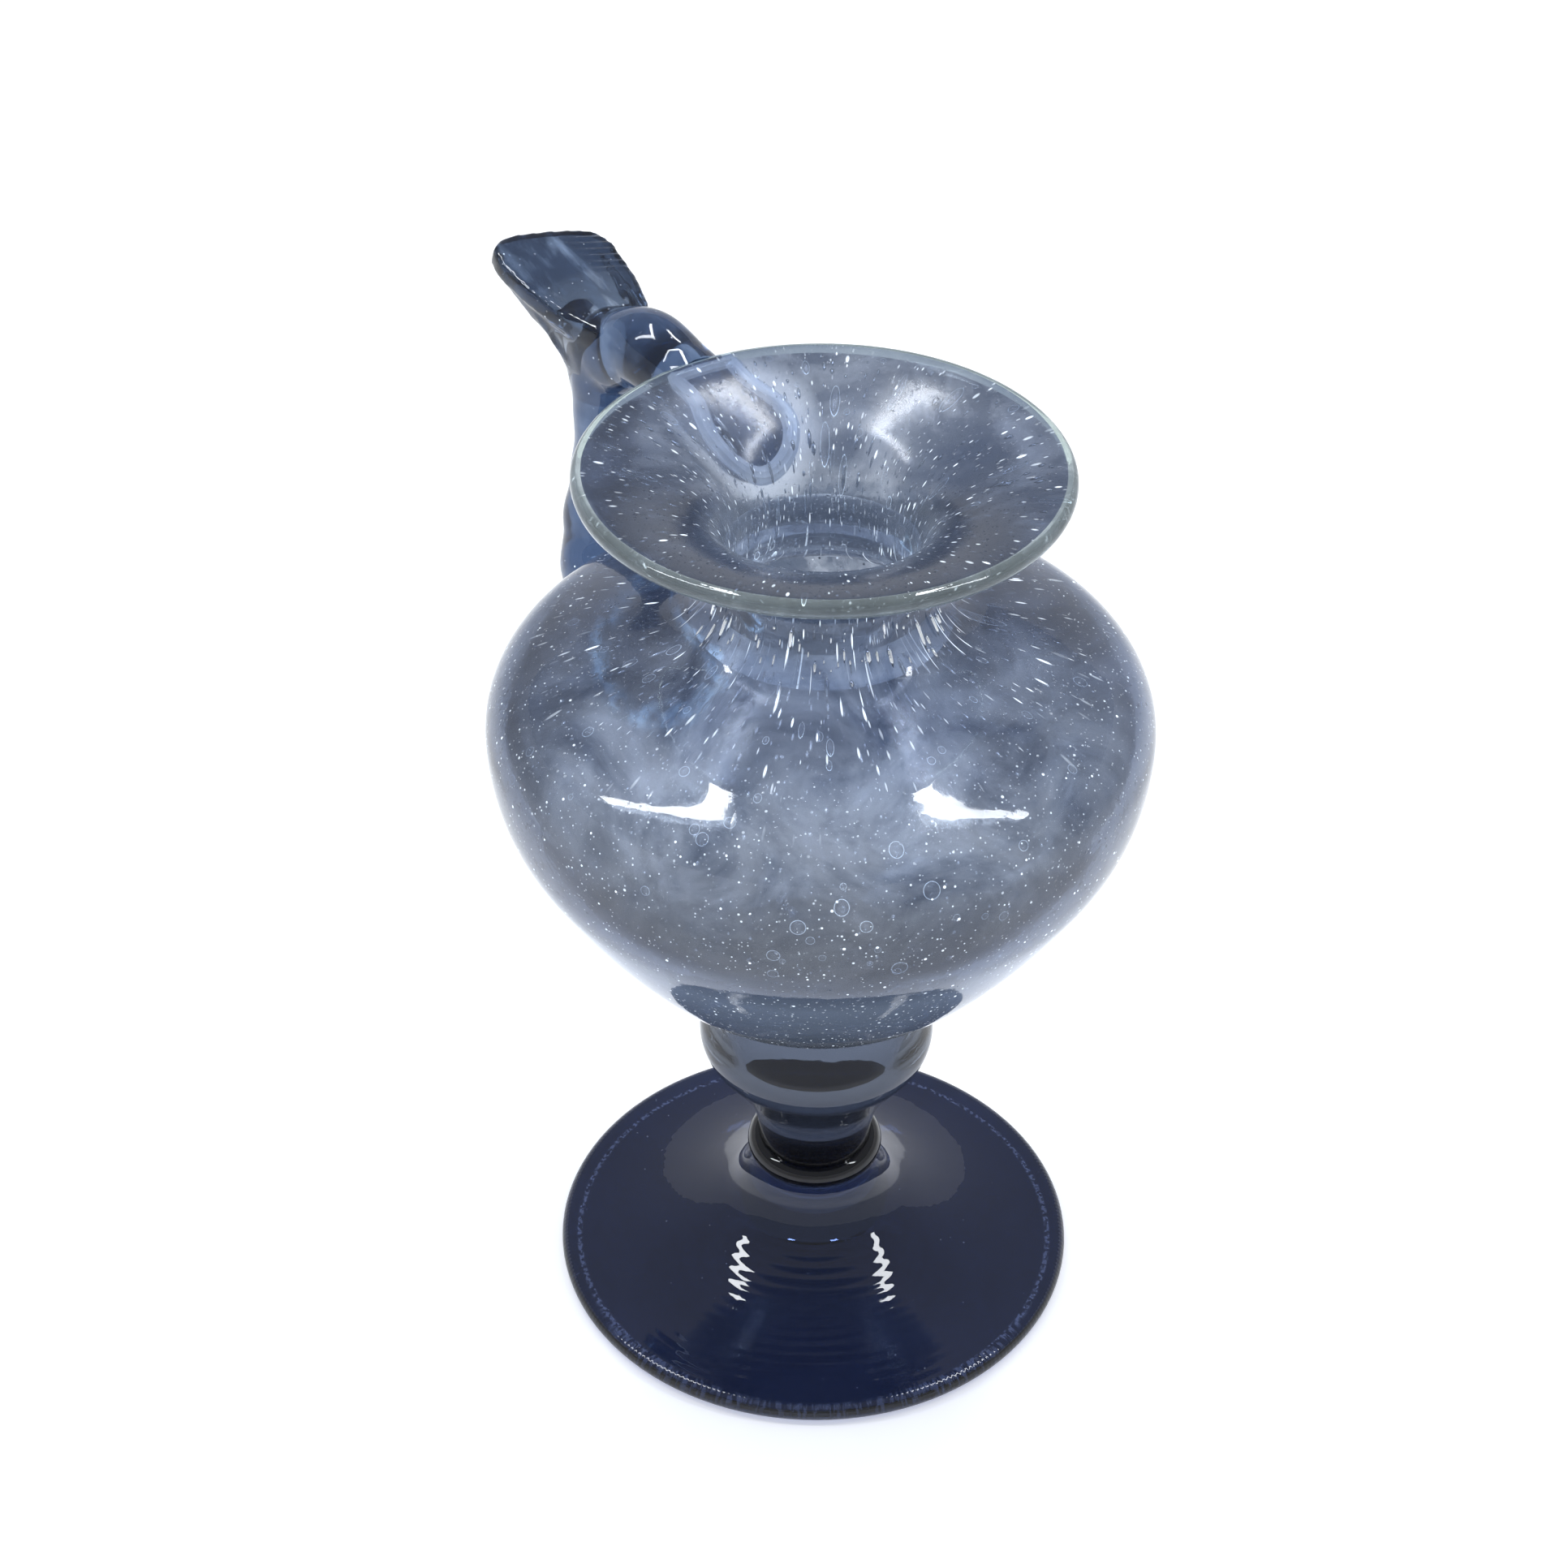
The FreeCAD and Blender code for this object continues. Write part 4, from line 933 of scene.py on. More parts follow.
def blue_glass(colours, blade=False):
    """Blue glass with drawn threads and seeds. The blade's is deep, and clear where it melts into the rod."""
    name = "blue_glass_rest" if blade else "blue_glass_handle"
    material, tree, shader, place = glass(name, 0.90, (0.5, 0.56, 0.7, 1.0))
    cords = group_node(tree, "glass_cords", cords_group, {
        "Vector": place, "Tint": colour4(colours.blue_tint), "Depth": 0.45, "Scale": 120.0,
    })
    height = add_node(tree, "ShaderNodeSeparateXYZ", {0: place}).outputs[2]
    if blade:
        deep = scaled_by(tree, cords["Tint"], 0.42)
        tint = mixed(tree, ramp_between(tree, height, 131.0 * MM, 141.0 * MM), (0.80, 0.87, 0.95, 1.0), deep)
    else:
        deep = scaled_by(tree, cords["Tint"], 0.75)
        tint = mixed(tree, ramp_between(tree, height, 120.0 * MM, 142.0 * MM), cords["Tint"], deep)
    drawn = add_node(tree, "ShaderNodeVectorMath", {0: place, 1: (0.35, 1.0, 0.35)}, operation="MULTIPLY").outputs[0]
    threads = add_node(tree, "ShaderNodeTexNoise", {
        "Vector": drawn, "Scale": 330.0, "Detail": 3.0, "Roughness": 0.6,
    }).outputs["Fac"]
    tint = mixed(tree, maths(tree, "MULTIPLY", ramp_between(tree, threads, 0.52, 0.74), 0.4), tint, (0.42, 0.56, 0.80, 1.0))
    seeds = group_node(tree, "fine_seeds", fine_seeds_group, {
        "Vector": place, "Spacing": 1.3 * MM, "Dot": 0.17, "Share": 0.5,
    })
    tree.links.new(tint, shader.inputs["Base Color"])
    # Painted highlight: the seeds' glints are an emitted colour.
    tree.links.new(scaled_by(tree, seeds["Painted glint"], 1.4), shader.inputs["Emission Color"])
    shader.inputs["Emission Strength"].default_value = 1.0
    shader.inputs["Roughness"].default_value = 0.06
    fine = add_node(tree, "ShaderNodeTexNoise", {"Vector": place, "Scale": 300.0, "Detail": 2.0}).outputs["Fac"]
    bump_into(tree, shader, maths(tree, "ADD", fine, seeds["Height"]), 0.03 * MM)
    return material


def seat_glass(colours):
    """The fused seat between the knop and the reservoir, clouded by fine bubbles."""
    material, tree, shader, place = glass("seat_glass", 0.95)
    cords = group_node(tree, "glass_cords", cords_group, {
        "Vector": place, "Tint": (0.93, 0.95, 0.98, 1.0), "Depth": 0.1, "Scale": 200.0,
    })
    tree.links.new(cords["Tint"], shader.inputs["Base Color"])
    bump_into(tree, shader, cords["Height"], 0.01 * MM)
    return material


def seam_glass(colours):
    """The wet seam where the handle's ends were stuck on: pale, and bright from a painted glow."""
    material, tree, shader, place = glass("seam_glass", 0.45)
    cords = group_node(tree, "glass_cords", cords_group, {
        "Vector": place, "Tint": (0.82, 0.90, 0.98, 1.0), "Depth": 0.35, "Scale": 260.0,
    })
    tree.links.new(cords["Tint"], shader.inputs["Base Color"])
    # Painted light: the seam glows by its own emission.
    tree.links.new(scaled_by(tree, cords["Tint"], 0.25), shader.inputs["Emission Color"])
    shader.inputs["Emission Strength"].default_value = 1.0
    bump_into(tree, shader, cords["Height"], 0.08 * MM)
    return material


def kept_material(name, build, colours, **more):
    return bpy.data.materials.get(name) or build(colours, **more)


# Bubbles that the eye finds one by one: azimuth in degrees, height in millimetres,
# radius and length in millimetres, and whether they are in the cup

ROOT_CENTRE = (-43.5 * MM, 0.0, 89.5 * MM)
PATCH_CENTRE = (-23.5 * MM, 2.6 * MM, 135.5 * MM)
CHOSEN = [
    (120, 139.9, 0.55, 3.4, 1), (103, 140.3, 0.85, 2.6, 1), (61, 139.7, 0.6, 2.8, 1), (128, 141.2, 0.42, 0.42, 1),
    (115, 141.7, 0.40, 0.40, 1), (101, 141.7, 0.45, 0.45, 1), (135, 138.2, 0.40, 0.5, 1), (128, 136.6, 0.42, 0.6, 1),
    (152, 140.0, 0.38, 0.45, 1), (169, 139.9, 0.5, 0.5, 1), (139, 133.7, 0.26, 1.6, 1), (150, 132.7, 0.28, 1.7, 1),
    (130, 133.4, 0.26, 1.4, 1), (110, 133.4, 0.3, 1.3, 1), (234, 140.3, 0.35, 2.2, 1), (232, 137.5, 0.32, 2.4, 1),
    (209, 136.2, 0.34, 2.1, 1), (222, 141.0, 0.35, 1.6, 1), (256, 138.9, 0.4, 2.3, 1), (29, 141.0, 0.4, 2.1, 1),
    (35, 138.0, 0.35, 1.9, 1), (169, 142.0, 0.42, 0.42, 1), (158, 141.2, 0.5, 0.5, 1), (40, 141.3, 0.55, 1.9, 1),
    (302, 109.6, 0.85, 0.9, 0), (306, 111.3, 0.8, 0.8, 0), (300, 110.0, 0.7, 0.75, 0), (337, 109.8, 1.0, 1.1, 0),
    (0, 106.8, 0.7, 0.7, 0), (320, 101.3, 1.05, 1.05, 0), (327, 103.9, 1.0, 1.15, 0), (331, 101.2, 0.85, 0.85, 0),
    (322, 99.3, 0.6, 0.6, 0), (342, 105.2, 1.15, 1.2, 0), (337, 93.5, 1.1, 1.1, 0), (316, 96.7, 0.9, 0.9, 0),
    (292, 113.0, 0.7, 0.8, 0), (310, 112.7, 0.55, 0.7, 0), (351, 114.3, 0.55, 0.6, 0), (355, 114.7, 0.5, 0.6, 0),
    (33, 116.5, 0.45, 0.9, 0), (22, 113.7, 0.5, 0.8, 0), (261, 115.9, 0.6, 1.0, 0), (259, 108.5, 0.6, 0.7, 0),
    (251, 115.5, 0.55, 1.1, 0), (18, 110.1, 0.6, 0.7, 0), (278, 99.1, 0.6, 0.6, 0), (323, 116.1, 0.45, 0.8, 0),
    (294, 102.8, 0.65, 0.65, 0), (355, 98.7, 0.7, 0.7, 0), (324, 96.0, 0.5, 0.5, 0), (333, 97.0, 0.45, 0.45, 0),
    (152, 77.0, 0.9, 0.9, 0), (120, 90.0, 0.8, 0.8, 0), (185, 84.0, 0.7, 0.7, 0), (90, 104.0, 0.8, 0.8, 0),
    (60, 86.0, 0.9, 0.9, 0), (205, 108.0, 0.7, 0.9, 0), (140, 110.0, 0.8, 0.8, 0), (75, 73.0, 0.7, 0.7, 0),
    (240, 78.0, 0.8, 0.8, 0), (285, 82.0, 0.6, 0.6, 0), (10, 80.0, 0.7, 0.7, 0), (345, 72.0, 0.6, 0.6, 0),
]


def wall_with_bubbles(shape):
    """The middle of the wall as a coarse turned sheet with loose points for the chosen bubbles."""
    middle = middle_outline(shape)
    rows = middle[::2] + ([middle[-1]] if len(middle) % 2 == 0 else [])
    steps = 48
    places, crowd, stretch, run, face, size, chosen = [], [], [], [], [], [], []

    def put(r, z, heading, azimuth, bubble):
        places.append((r * math.cos(azimuth), r * math.sin(azimuth), z))
        run.append((math.cos(heading) * math.cos(azimuth), math.cos(heading) * math.sin(azimuth), math.sin(heading)))
        face.append((-math.sin(heading) * math.cos(azimuth), -math.sin(heading) * math.sin(azimuth), math.cos(heading)))
        narrow = min(1.0, max(0.0, (44.0 * MM - r) / (30.0 * MM)))
        above = 1.0 if z > 104.0 * MM else 0.0
        crowd.append((0.9 + 0.4 * narrow * above) if z > 58.0 * MM else 0.6)
        size.append(bubble[0])
        stretch.append(bubble[1] or 1.0 + above * 5.2 * narrow ** 1.6)
        chosen.append(bubble[2])

    for r, z, heading in rows:
        for step in range(steps):
            put(r, z, heading, math.tau * step / steps, (0.0, 0.0, 0.0))
    faces = []
    for row in range(len(rows) - 1):
        for step in range(steps):
            after = (step + 1) % steps
            a, b = row * steps, (row + 1) * steps
            faces.append((a + step, a + after, b + after, b + step))
    for azimuth, height, radius, length, in_cup in CHOSEN:
        near = [p for p in middle if (p[1] > 129.0 * MM) == bool(in_cup)]
        r, z, heading = min(near, key=lambda p: abs(p[1] - height * MM))
        put(r, z, heading, math.radians(azimuth), (radius * MM, length / radius, 1.0))
    return point_mesh(
        "wall_middle", places, (), faces, crowd=crowd, stretch=stretch, run=run, face=face, size=size, chosen=chosen
    )


# Handle: reach along -X, sideways lean, height, heading of the path in degrees, radius

SECTIONS = [
    (36.0, 0.0, 89.0, 14, 10.2), (44.5, 0.0, 90.4, 22, 10.9), (49.9, 0.0, 93.9, 40, 9.5), (54.0, 0.0, 99.1, 60, 7.6),
    (56.2, 0.0, 105.5, 80, 5.65), (56.0, 0.0, 112.5, 93, 4.5), (54.4, 0.0, 120.0, 99, 4.4), (53.8, 0.0, 127.0, 95, 4.7),
    (52.9, 0.0, 132.6, 108, 5.3), (49.7, 0.39, 137.1, 142, 5.9), (43.5, 1.2, 139.8, 172, 5.8), (36.0, 2.1, 138.5, 184, 5.3),
    (28.5, 2.6, 135.6, 192, 5.8), (21.6, 2.6, 135.4, 184, 6.5), (19.2, 2.6, 135.6, 182, 5.9), (17.4, 2.6, 135.7, 181, 4.6),
    (16.4, 2.6, 135.8, 180, 2.9), (16.0, 2.6, 135.8, 180, 1.2),
]


def handle_path(first, last, thinner):
    """A smooth path through the handle's sections, with its thickness."""
    chosen = SECTIONS[first:last]
    points, thickness = [], []
    for here, there in zip(chosen, chosen[1:]):
        a = Vector((-here[0], here[1], here[2])) * MM
        b = Vector((-there[0], there[1], there[2])) * MM
        length = (b - a).length
        start = Vector((-math.cos(math.radians(here[3])), 0.0, math.sin(math.radians(here[3])))) * length
        end = Vector((-math.cos(math.radians(there[3])), 0.0, math.sin(math.radians(there[3])))) * length
        for number in range(8):
            t = number / 8.0
            place = (
                a * (2 * t ** 3 - 3 * t ** 2 + 1) + start * (t ** 3 - 2 * t ** 2 + t)
                + b * (-2 * t ** 3 + 3 * t ** 2) + end * (t ** 3 - t ** 2)
            )
            blend = t * t * (3.0 - 2.0 * t)
            points.append(place)
            thickness.append((here[4] + (there[4] - here[4]) * blend) * MM - thinner)
    final = chosen[-1]
    points.append(Vector((-final[0], final[1], final[2])) * MM)
    thickness.append(final[4] * MM - thinner)
    return points, thickness


def rod(material, first=0, last=len(SECTIONS), thinner=0.0):
    points, thickness = handle_path(first, last, thinner)
    path = point_mesh("handle_path", points, [(n, n + 1) for n in range(len(points) - 1)], thickness=thickness)
    mesh = grown(path, tree_of("drawn_glass", path_tree), {"Sides": 48, "Material": material})
    face_outwards(mesh)
    return mesh


def helper(name, mesh):
    worker = bpy.data.objects.new(name, mesh)
    bpy.context.scene.collection.objects.link(worker)
    return worker


def without(mesh, tool_mesh):
    """The first mesh less the second."""
    worker, tool = helper("worker", mesh), helper("tool", tool_mesh)
    cut = worker.modifiers.new("cut", "BOOLEAN")
    cut.object, cut.operation, cut.solver = tool, "DIFFERENCE", "EXACT"
    made = plain_mesh(worker)
    bpy.data.objects.remove(tool)
    return made


def reservoir_block(shape, material):
    """The reservoir's outside as a solid, one join inside its wall, closed over at the lip."""
    lower, upper = bowl_outside()
    cup = beside(chain(THROAT, UP, [CUP_MIDDLE, LIP], 0.8 * MM), -shape.cup_wall)
    outer = beside(lower + upper[1:] + cup[1:], JOIN)
    points = [(r, z, 0.0) for r, z, _ in outer]
    points[0] = (0.0, points[0][1], 0.0)
    points.append((points[-1][0], 160.0 * MM, 0.0))
    points.append((0.0, 160.0 * MM, 0.0))
    return turned("reservoir_block", points, shape, material)


REST_PLAN = [
    (-3.0, -5.0), (1.5, -7.6), (8.0, -9.4), (14.6, -10.1), (17.4, -9.4), (19.0, -7.2), (19.1, -4.0), (18.3, 1.0),
    (17.3, 5.4), (15.8, 7.8), (13.0, 8.7), (6.0, 8.1), (0.0, 6.6), (-4.0, 4.0),
]
REST_DATUM, REST_TILT, REST_ROLL, REST_THICKNESS = (-52.0, 0.0, 140.8), 17.0, -5.0, 4.4

# Flare from the column into the thumb rest: centre, half width across, half depth, lean in degrees

FLARE = [
    ((-54.3, 0.0, 124.5), 4.1, 4.0, 0.0), ((-54.4, 0.0, 129.0), 4.6, 4.5, 4.0), ((-54.9, 0.0, 132.6), 5.0, 5.0, 14.0),
    ((-55.7, -0.2, 135.7), 5.9, 5.2, 28.0), ((-57.0, -0.4, 138.6), 7.0, 5.0, 46.0), ((-59.2, -0.6, 141.3), 7.6, 3.6, 66.0),
]

# Wedge under the blade: reach, near and far side on top, near and far side below, depth below

WEDGE = [
    (18.6, -7.0, 0.5, -6.6, 0.3, -0.9), (14.6, -9.8, 7.8, -8.7, 6.9, -2.1), (8.0, -9.2, 8.0, -7.3, 6.3, -4.2),
    (4.5, -8.4, 7.6, -5.9, 5.4, -5.5), (1.5, -7.4, 6.8, -5.0, 4.8, -7.0), (-3.0, -4.9, 4.4, -4.3, 4.0, -8.5),
]


def hull(points):
    """The convex skin round some points."""
    work = bmesh.new()
    for point in points:
        work.verts.new(point)
    made = bmesh.ops.convex_hull(work, input=work.verts)
    spare = [item for item in made["geom_interior"] if isinstance(item, bmesh.types.BMVert)]
    bmesh.ops.delete(work, geom=spare, context="VERTS")
    bmesh.ops.recalc_face_normals(work, faces=work.faces)
    mesh = bpy.data.meshes.new("hull")
    work.to_mesh(mesh)
    work.free()
    return mesh


def flare_ring(station):
    centre, across, deep, lean = station
    out = Vector((-math.cos(math.radians(lean)), 0.0, math.sin(math.radians(lean))))
    points = []
    for number in range(20):
        angle = math.tau * number / 20.0
        points.append((
            Vector(centre) + out * deep * math.cos(angle) + Vector((0.0, 1.0, 0.0)) * across * math.sin(angle)
        ) * MM)
    return points


def rest_blade():
    """The pressed blade as a slab on a wedge, before they are blended into the corner."""
    tilt = math.radians(REST_TILT)
    place = Matrix((
        (-math.cos(tilt), 0.0, math.sin(tilt), REST_DATUM[0]),
        (0.0, 1.0, 0.0, REST_DATUM[1]),
        (math.sin(tilt), 0.0, math.cos(tilt), REST_DATUM[2]),
        (0.0, 0.0, 0.0, 1.0),
    )) @ Matrix.Rotation(math.radians(REST_ROLL), 4, "X")
    top = 0.5 * REST_THICKNESS
    blade = hull([place @ Vector((u, v, w)) * MM for u, v in REST_PLAN for w in (top - 3.0, top)])
    stations = [
        [place @ Vector(point) * MM for point in (
            (u, near, top - 0.2), (u, far, top - 0.2), (u, low_near, drop), (u, low_far, drop),
        )]
        for u, near, far, low_near, low_far, drop in WEDGE
    ]
    return [blade] + [hull(first + second) for first, second in zip(stations, stations[1:])], place


def blended(meshes, voxel, rounds):
    """Several closed meshes melted into one skin."""
    worker = helper("worker", together(meshes))
    melt = worker.modifiers.new("melt", "REMESH")
    melt.mode, melt.voxel_size = "VOXEL", voxel
    calm = worker.modifiers.new("calm", "SMOOTH")
    calm.factor, calm.iterations = 0.5, rounds
    return plain_mesh(worker)


def crimp(mesh, place, depth):
    """Fine tool marks across the right half of the blade's upper side, and a slight unevenness."""
    back = place.inverted()
    mesh.update()
    for vertex in mesh.vertices:
        u, v, w = back @ (vertex.co / MM)
        if u < 2.0:
            continue
        on_top = min(1.0, max(0.0, (w - 0.5) / 1.2))
        right = min(1.0, max(0.0, (v - 1.5) / 3.0)) * min(1.0, max(0.0, (8.6 - v) / 1.2))
        outer = min(1.0, max(0.0, (u - 6.0) / 3.0)) * min(1.0, max(0.0, (18.0 - u) / 2.0))
        marks = (0.5 + 0.5 * math.sin(math.tau * (u * 0.72 + v * 0.18))) * right * outer
        sag = (depth / MM) * marks
        hand = 0.10 * noise(Vector((u, v, w)) * 0.16)
        vertex.co = place @ Vector((u, v, w - sag * on_top + hand)) * MM


# Operators


class LampPiece:
    bl_options = {"REGISTER", "UNDO"}


class LAMP_OT_foot(LampPiece, Operator):
    """Make the spun foot with its tool ripples"""

    bl_idname = "lamp.foot"
    bl_label = "Foot"

    def execute(self, context):
        shape, colours = context.scene.lamp_shape, context.scene.lamp_colours
        material = kept_material("clear_glass_stem", clear_glass, colours)
        mesh = turned("foot_glass", foot_outline(), shape, material, ripple=shape.ripple_height)
        finish_piece("foot_glass", mesh, [material], "foot")
        return {"FINISHED"}


class LAMP_OT_stem(LampPiece, Operator):
    """Make the collar and the knop of the stem"""

    bl_idname = "lamp.stem"
    bl_label = "Collar and knop"

    def execute(self, context):
        shape, colours = context.scene.lamp_shape, context.scene.lamp_colours
        material = kept_material("clear_glass_stem", clear_glass, colours)
        mesh = turned("collar_glass", collar_outline(), shape, material)
        finish_piece("collar_glass", mesh, [material], "collar")
        mesh = turned("knop_glass", knop_outline(), shape, material)
        finish_piece("knop_glass", mesh, [material], "stem_knop")
        return {"FINISHED"}


class LAMP_OT_reservoir(LampPiece, Operator):
    """Make the blown reservoir with the bubbles in its wall"""

    bl_idname = "lamp.reservoir"
    bl_label = "Reservoir"

    def execute(self, context):
        shape, colours, bubbles = context.scene.lamp_shape, context.scene.lamp_colours, context.scene.lamp_bubbles
        material = kept_material("bubble_glass_skin", skin_glass, colours)
        cloud = kept_material("bubble_glass_cloud", cloud_glass, colours)
        mesh = turned("reservoir_glass", reservoir_outline(shape), shape, material, shape.waviness, seed=3.7)
        far_side = mesh.attributes["tint"].data
        for face in mesh.polygons:
            reach = math.hypot(face.center.x, face.center.y)
            on_lip = reach > 32.2 * MM and face.center.z > 0.14
            on_seat = reach < 12.9 * MM and face.center.z < 56.0 * MM and face.normal.z < 0.0
            hidden = far_side[face.vertices[0]].value > 0.5
            face.material_index = 1 if on_lip else 4 if on_seat else 5 if hidden else 0
        room = min(shape.bowl_wall, shape.cup_wall) - shape.waviness * 2.0
        silver = kept_material("bubble_silver", bubble_silver, colours)
        hollow = kept_material("bubble_hollow", bubble_hollow, colours)
        lip = kept_material("lip_glass", lip_glass, colours)
        seat = kept_material("seat_glass", seat_glass, colours)
        parts = [mesh]
        for number, (crowd, low, high, loose, detail, skin) in enumerate((
            (bubbles.crowd, bubbles.smallest, bubbles.largest, 0.0, 1, silver),
            (bubbles.round_crowd, bubbles.largest, 0.85 * MM, 0.0, 2, hollow),
            (0.0, bubbles.largest, 0.85 * MM, 1.0, 3, hollow),
        )):
            parts.append(painted(grown(wall_with_bubbles(shape), tree_of("wall_bubbles", bubble_tree), {
                "Crowd": crowd * 1e4, "Smallest": low, "Largest": high, "Wall": room, "Loose": loose,
                "Detail": detail, "Seed": bubbles.seed + 7 * number, "Material": skin,
            }), 2 if skin == silver else 3))
        mesh = together(parts)
        finish_piece("reservoir_glass", mesh, [material, lip, silver, hollow, seat, cloud], "reservoir")
        return {"FINISHED"}


class LAMP_OT_handle(LampPiece, Operator):
    """Make the drawn handle, trimmed to the reservoir, with the bright seams where it is stuck on"""

    bl_idname = "lamp.handle"
    bl_label = "Handle"

    def execute(self, context):
        shape, colours = context.scene.lamp_shape, context.scene.lamp_colours
        material = kept_material("blue_glass_handle", blue_glass, colours)
        seam = kept_material("seam_glass", seam_glass, colours)
        mesh = without(rod(material), reservoir_block(shape, material))
        loops = seam_loops(mesh, shape)
        face_outwards(mesh)
        parts = [painted(mesh, 0)]
        for points in loops:
            high = sum(point.z for point in points) / len(points) > 0.12
            path = point_mesh(
                "seam_path", points, [(n, (n + 1) % len(points)) for n in range(len(points))],
                thickness=[shape.seam_radius * (1.6 if high else 1.3)] * len(points),
            )
            bead = grown(path, tree_of("drawn_glass", path_tree), {"Sides": 10, "Material": seam})
            face_outwards(bead)
            parts.append(painted(bead, 1))
        finish_piece("handle_glass", together(parts), [material, seam], "handle")
        return {"FINISHED"}


class LAMP_OT_thumb_rest(LampPiece, Operator):
    """Make the pressed thumb rest, melted onto the handle's corner"""

    bl_idname = "lamp.thumb_rest"
    bl_label = "Thumb rest"

    def execute(self, context):
        shape, colours = context.scene.lamp_shape, context.scene.lamp_colours
        material = kept_material("blue_glass_rest", blue_glass, colours, blade=True)
        blade, place = rest_blade()
        rings = [flare_ring(station) for station in FLARE]
        flare = [hull(low + high) for low, high in zip(rings, rings[1:])]
        mesh = blended(blade + [rod(material, 6, 12, 0.40 * MM)] + flare, 0.35 * MM, 26)
        crimp(mesh, place, shape.crimp_depth)
        mesh = without(mesh, rod(material, thinner=JOIN))
        keep_largest(mesh)
        face_outwards(mesh, 40.0)
        finish_piece("thumb_rest_glass", mesh, [material], "thumb_rest")
        return {"FINISHED"}


def outline_gap(outline, r, z):
    """How far a point of the outline's plane lies from the outline."""
    best = 1.0
    here = Vector((r, z))
    for start, end in zip(outline, outline[1:]):
        a, along = Vector(start[:2]), Vector(end[:2]) - Vector(start[:2])
        share = min(1.0, max(0.0, (here - a).dot(along) / max(along.length_squared, 1e-18)))
        best = min(best, (here - a - along * share).length)
    return best


def seam_loops(mesh, shape):
    """The closed lines along which the handle leaves the reservoir, evenly stepped and calmed."""
    lower, upper = bowl_outside()
    cup = beside(chain(THROAT, UP, [CUP_MIDDLE, LIP], 0.8 * MM), -shape.cup_wall)
    outline = beside(lower + upper[1:] + cup[1:], JOIN)
    work = bmesh.new()
    work.from_mesh(mesh)
    bmesh.ops.remove_doubles(work, verts=work.verts, dist=1e-7)
    stuck = {}
    for face in work.faces:
        centre = face.calc_center_median()
        stuck[face] = outline_gap(outline, math.hypot(centre.x, centre.y), centre.z) < 0.04 * MM
    follow = {}
    for edge in work.edges:
        if len(edge.link_faces) == 2 and stuck[edge.link_faces[0]] != stuck[edge.link_faces[1]]:
            a, b = edge.verts
            follow.setdefault(a, []).append(b)
            follow.setdefault(b, []).append(a)
    loops, seen = [], set()
    for start in follow:
        if start in seen:
            continue
        line, here = [], start
        while here and here not in seen:
            seen.add(here)
            line.append(here.co.copy())
            here = next((other for other in follow[here] if other not in seen), None)
        if len(line) > 20:
            loops.append(even_loop(line, 0.9 * MM))
    work.free()
    return loops


def even_loop(line, step):
    """A closed line stepped evenly and smoothed."""
    closed = line + [line[0]]
    lengths = [0.0]
    for a, b in zip(closed, closed[1:]):
        lengths.append(lengths[-1] + (b - a).length)
    count = max(12, round(lengths[-1] / step))
    points, at = [], 0
    for number in range(count):
        want = lengths[-1] * number / count
        while lengths[at + 1] < want:
            at += 1
        span = max(lengths[at + 1] - lengths[at], 1e-12)
        points.append(closed[at].lerp(closed[at + 1], (want - lengths[at]) / span))
    for _ in range(3):
        points = [(points[n - 1] + points[n] * 2.0 + points[(n + 1) % count]) * 0.25 for n in range(count)]
    return points


def keep_largest(mesh):
    """Drop the slivers that trimming leaves."""
    work = bmesh.new()
    work.from_mesh(mesh)
    seen, groups = set(), []
    for vertex in work.verts:
        if vertex in seen:
            continue
        group, queue = [], [vertex]
        seen.add(vertex)
        while queue:
            here = queue.pop()
            group.append(here)
            for edge in here.link_edges:
                other = edge.other_vert(here)
                if other not in seen:
                    seen.add(other)
                    queue.append(other)
        groups.append(group)
    groups.sort(key=len)
    spare = [vertex for group in groups[:-1] for vertex in group]
    bmesh.ops.delete(work, geom=spare, context="VERTS")
    work.to_mesh(mesh)
    work.free()


def plain_surface(name, tint, spread, lift):
    """A plain matt surface with a faint mottle, lifted towards white for the eye and for what glass shows."""
    material = bpy.data.materials.new(name)
    material.use_nodes = True
    tree = material.node_tree
    shader = tree.nodes["Principled BSDF"]
    place = add_node(tree, "ShaderNodeTexCoord").outputs["Object"]
    mottle = add_node(tree, "ShaderNodeTexNoise", {"Vector": place, "Scale": 14.0, "Detail": 3.0}).outputs["Fac"]
    dark = tuple(c * (1.0 - spread) for c in tint)
    tree.links.new(mixed(tree, mottle, dark + (1.0,), tint + (1.0,)), shader.inputs["Base Color"])
    shader.inputs["Roughness"].default_value = 0.9
    shader.inputs["Specular IOR Level"].default_value = 0.1
    path = tree.nodes.new("ShaderNodeLightPath").outputs
    seen = maths(tree, "MAXIMUM", path["Is Camera Ray"], maths(tree, "MAXIMUM", path["Is Glossy Ray"], path["Is Transmission Ray"]))
    glow = add_node(tree, "ShaderNodeEmission", {"Color": (1.0, 1.0, 1.0, 1.0), "Strength": maths(tree, "MULTIPLY", seen, lift)})
    both = tree.nodes.new("ShaderNodeAddShader")
    tree.links.new(shader.outputs[0], both.inputs[0])
    tree.links.new(glow.outputs[0], both.inputs[1])
    tree.links.new(both.outputs[0], tree.nodes["Material Output"].inputs["Surface"])
    return material


def from_view(x, y, z):
    """A place given to the right of the camera, away from it and up, in the lamp's own frame."""
    turn = math.radians(54.0)
    return Vector((x * math.cos(turn) - y * math.sin(turn), x * math.sin(turn) + y * math.cos(turn), z))


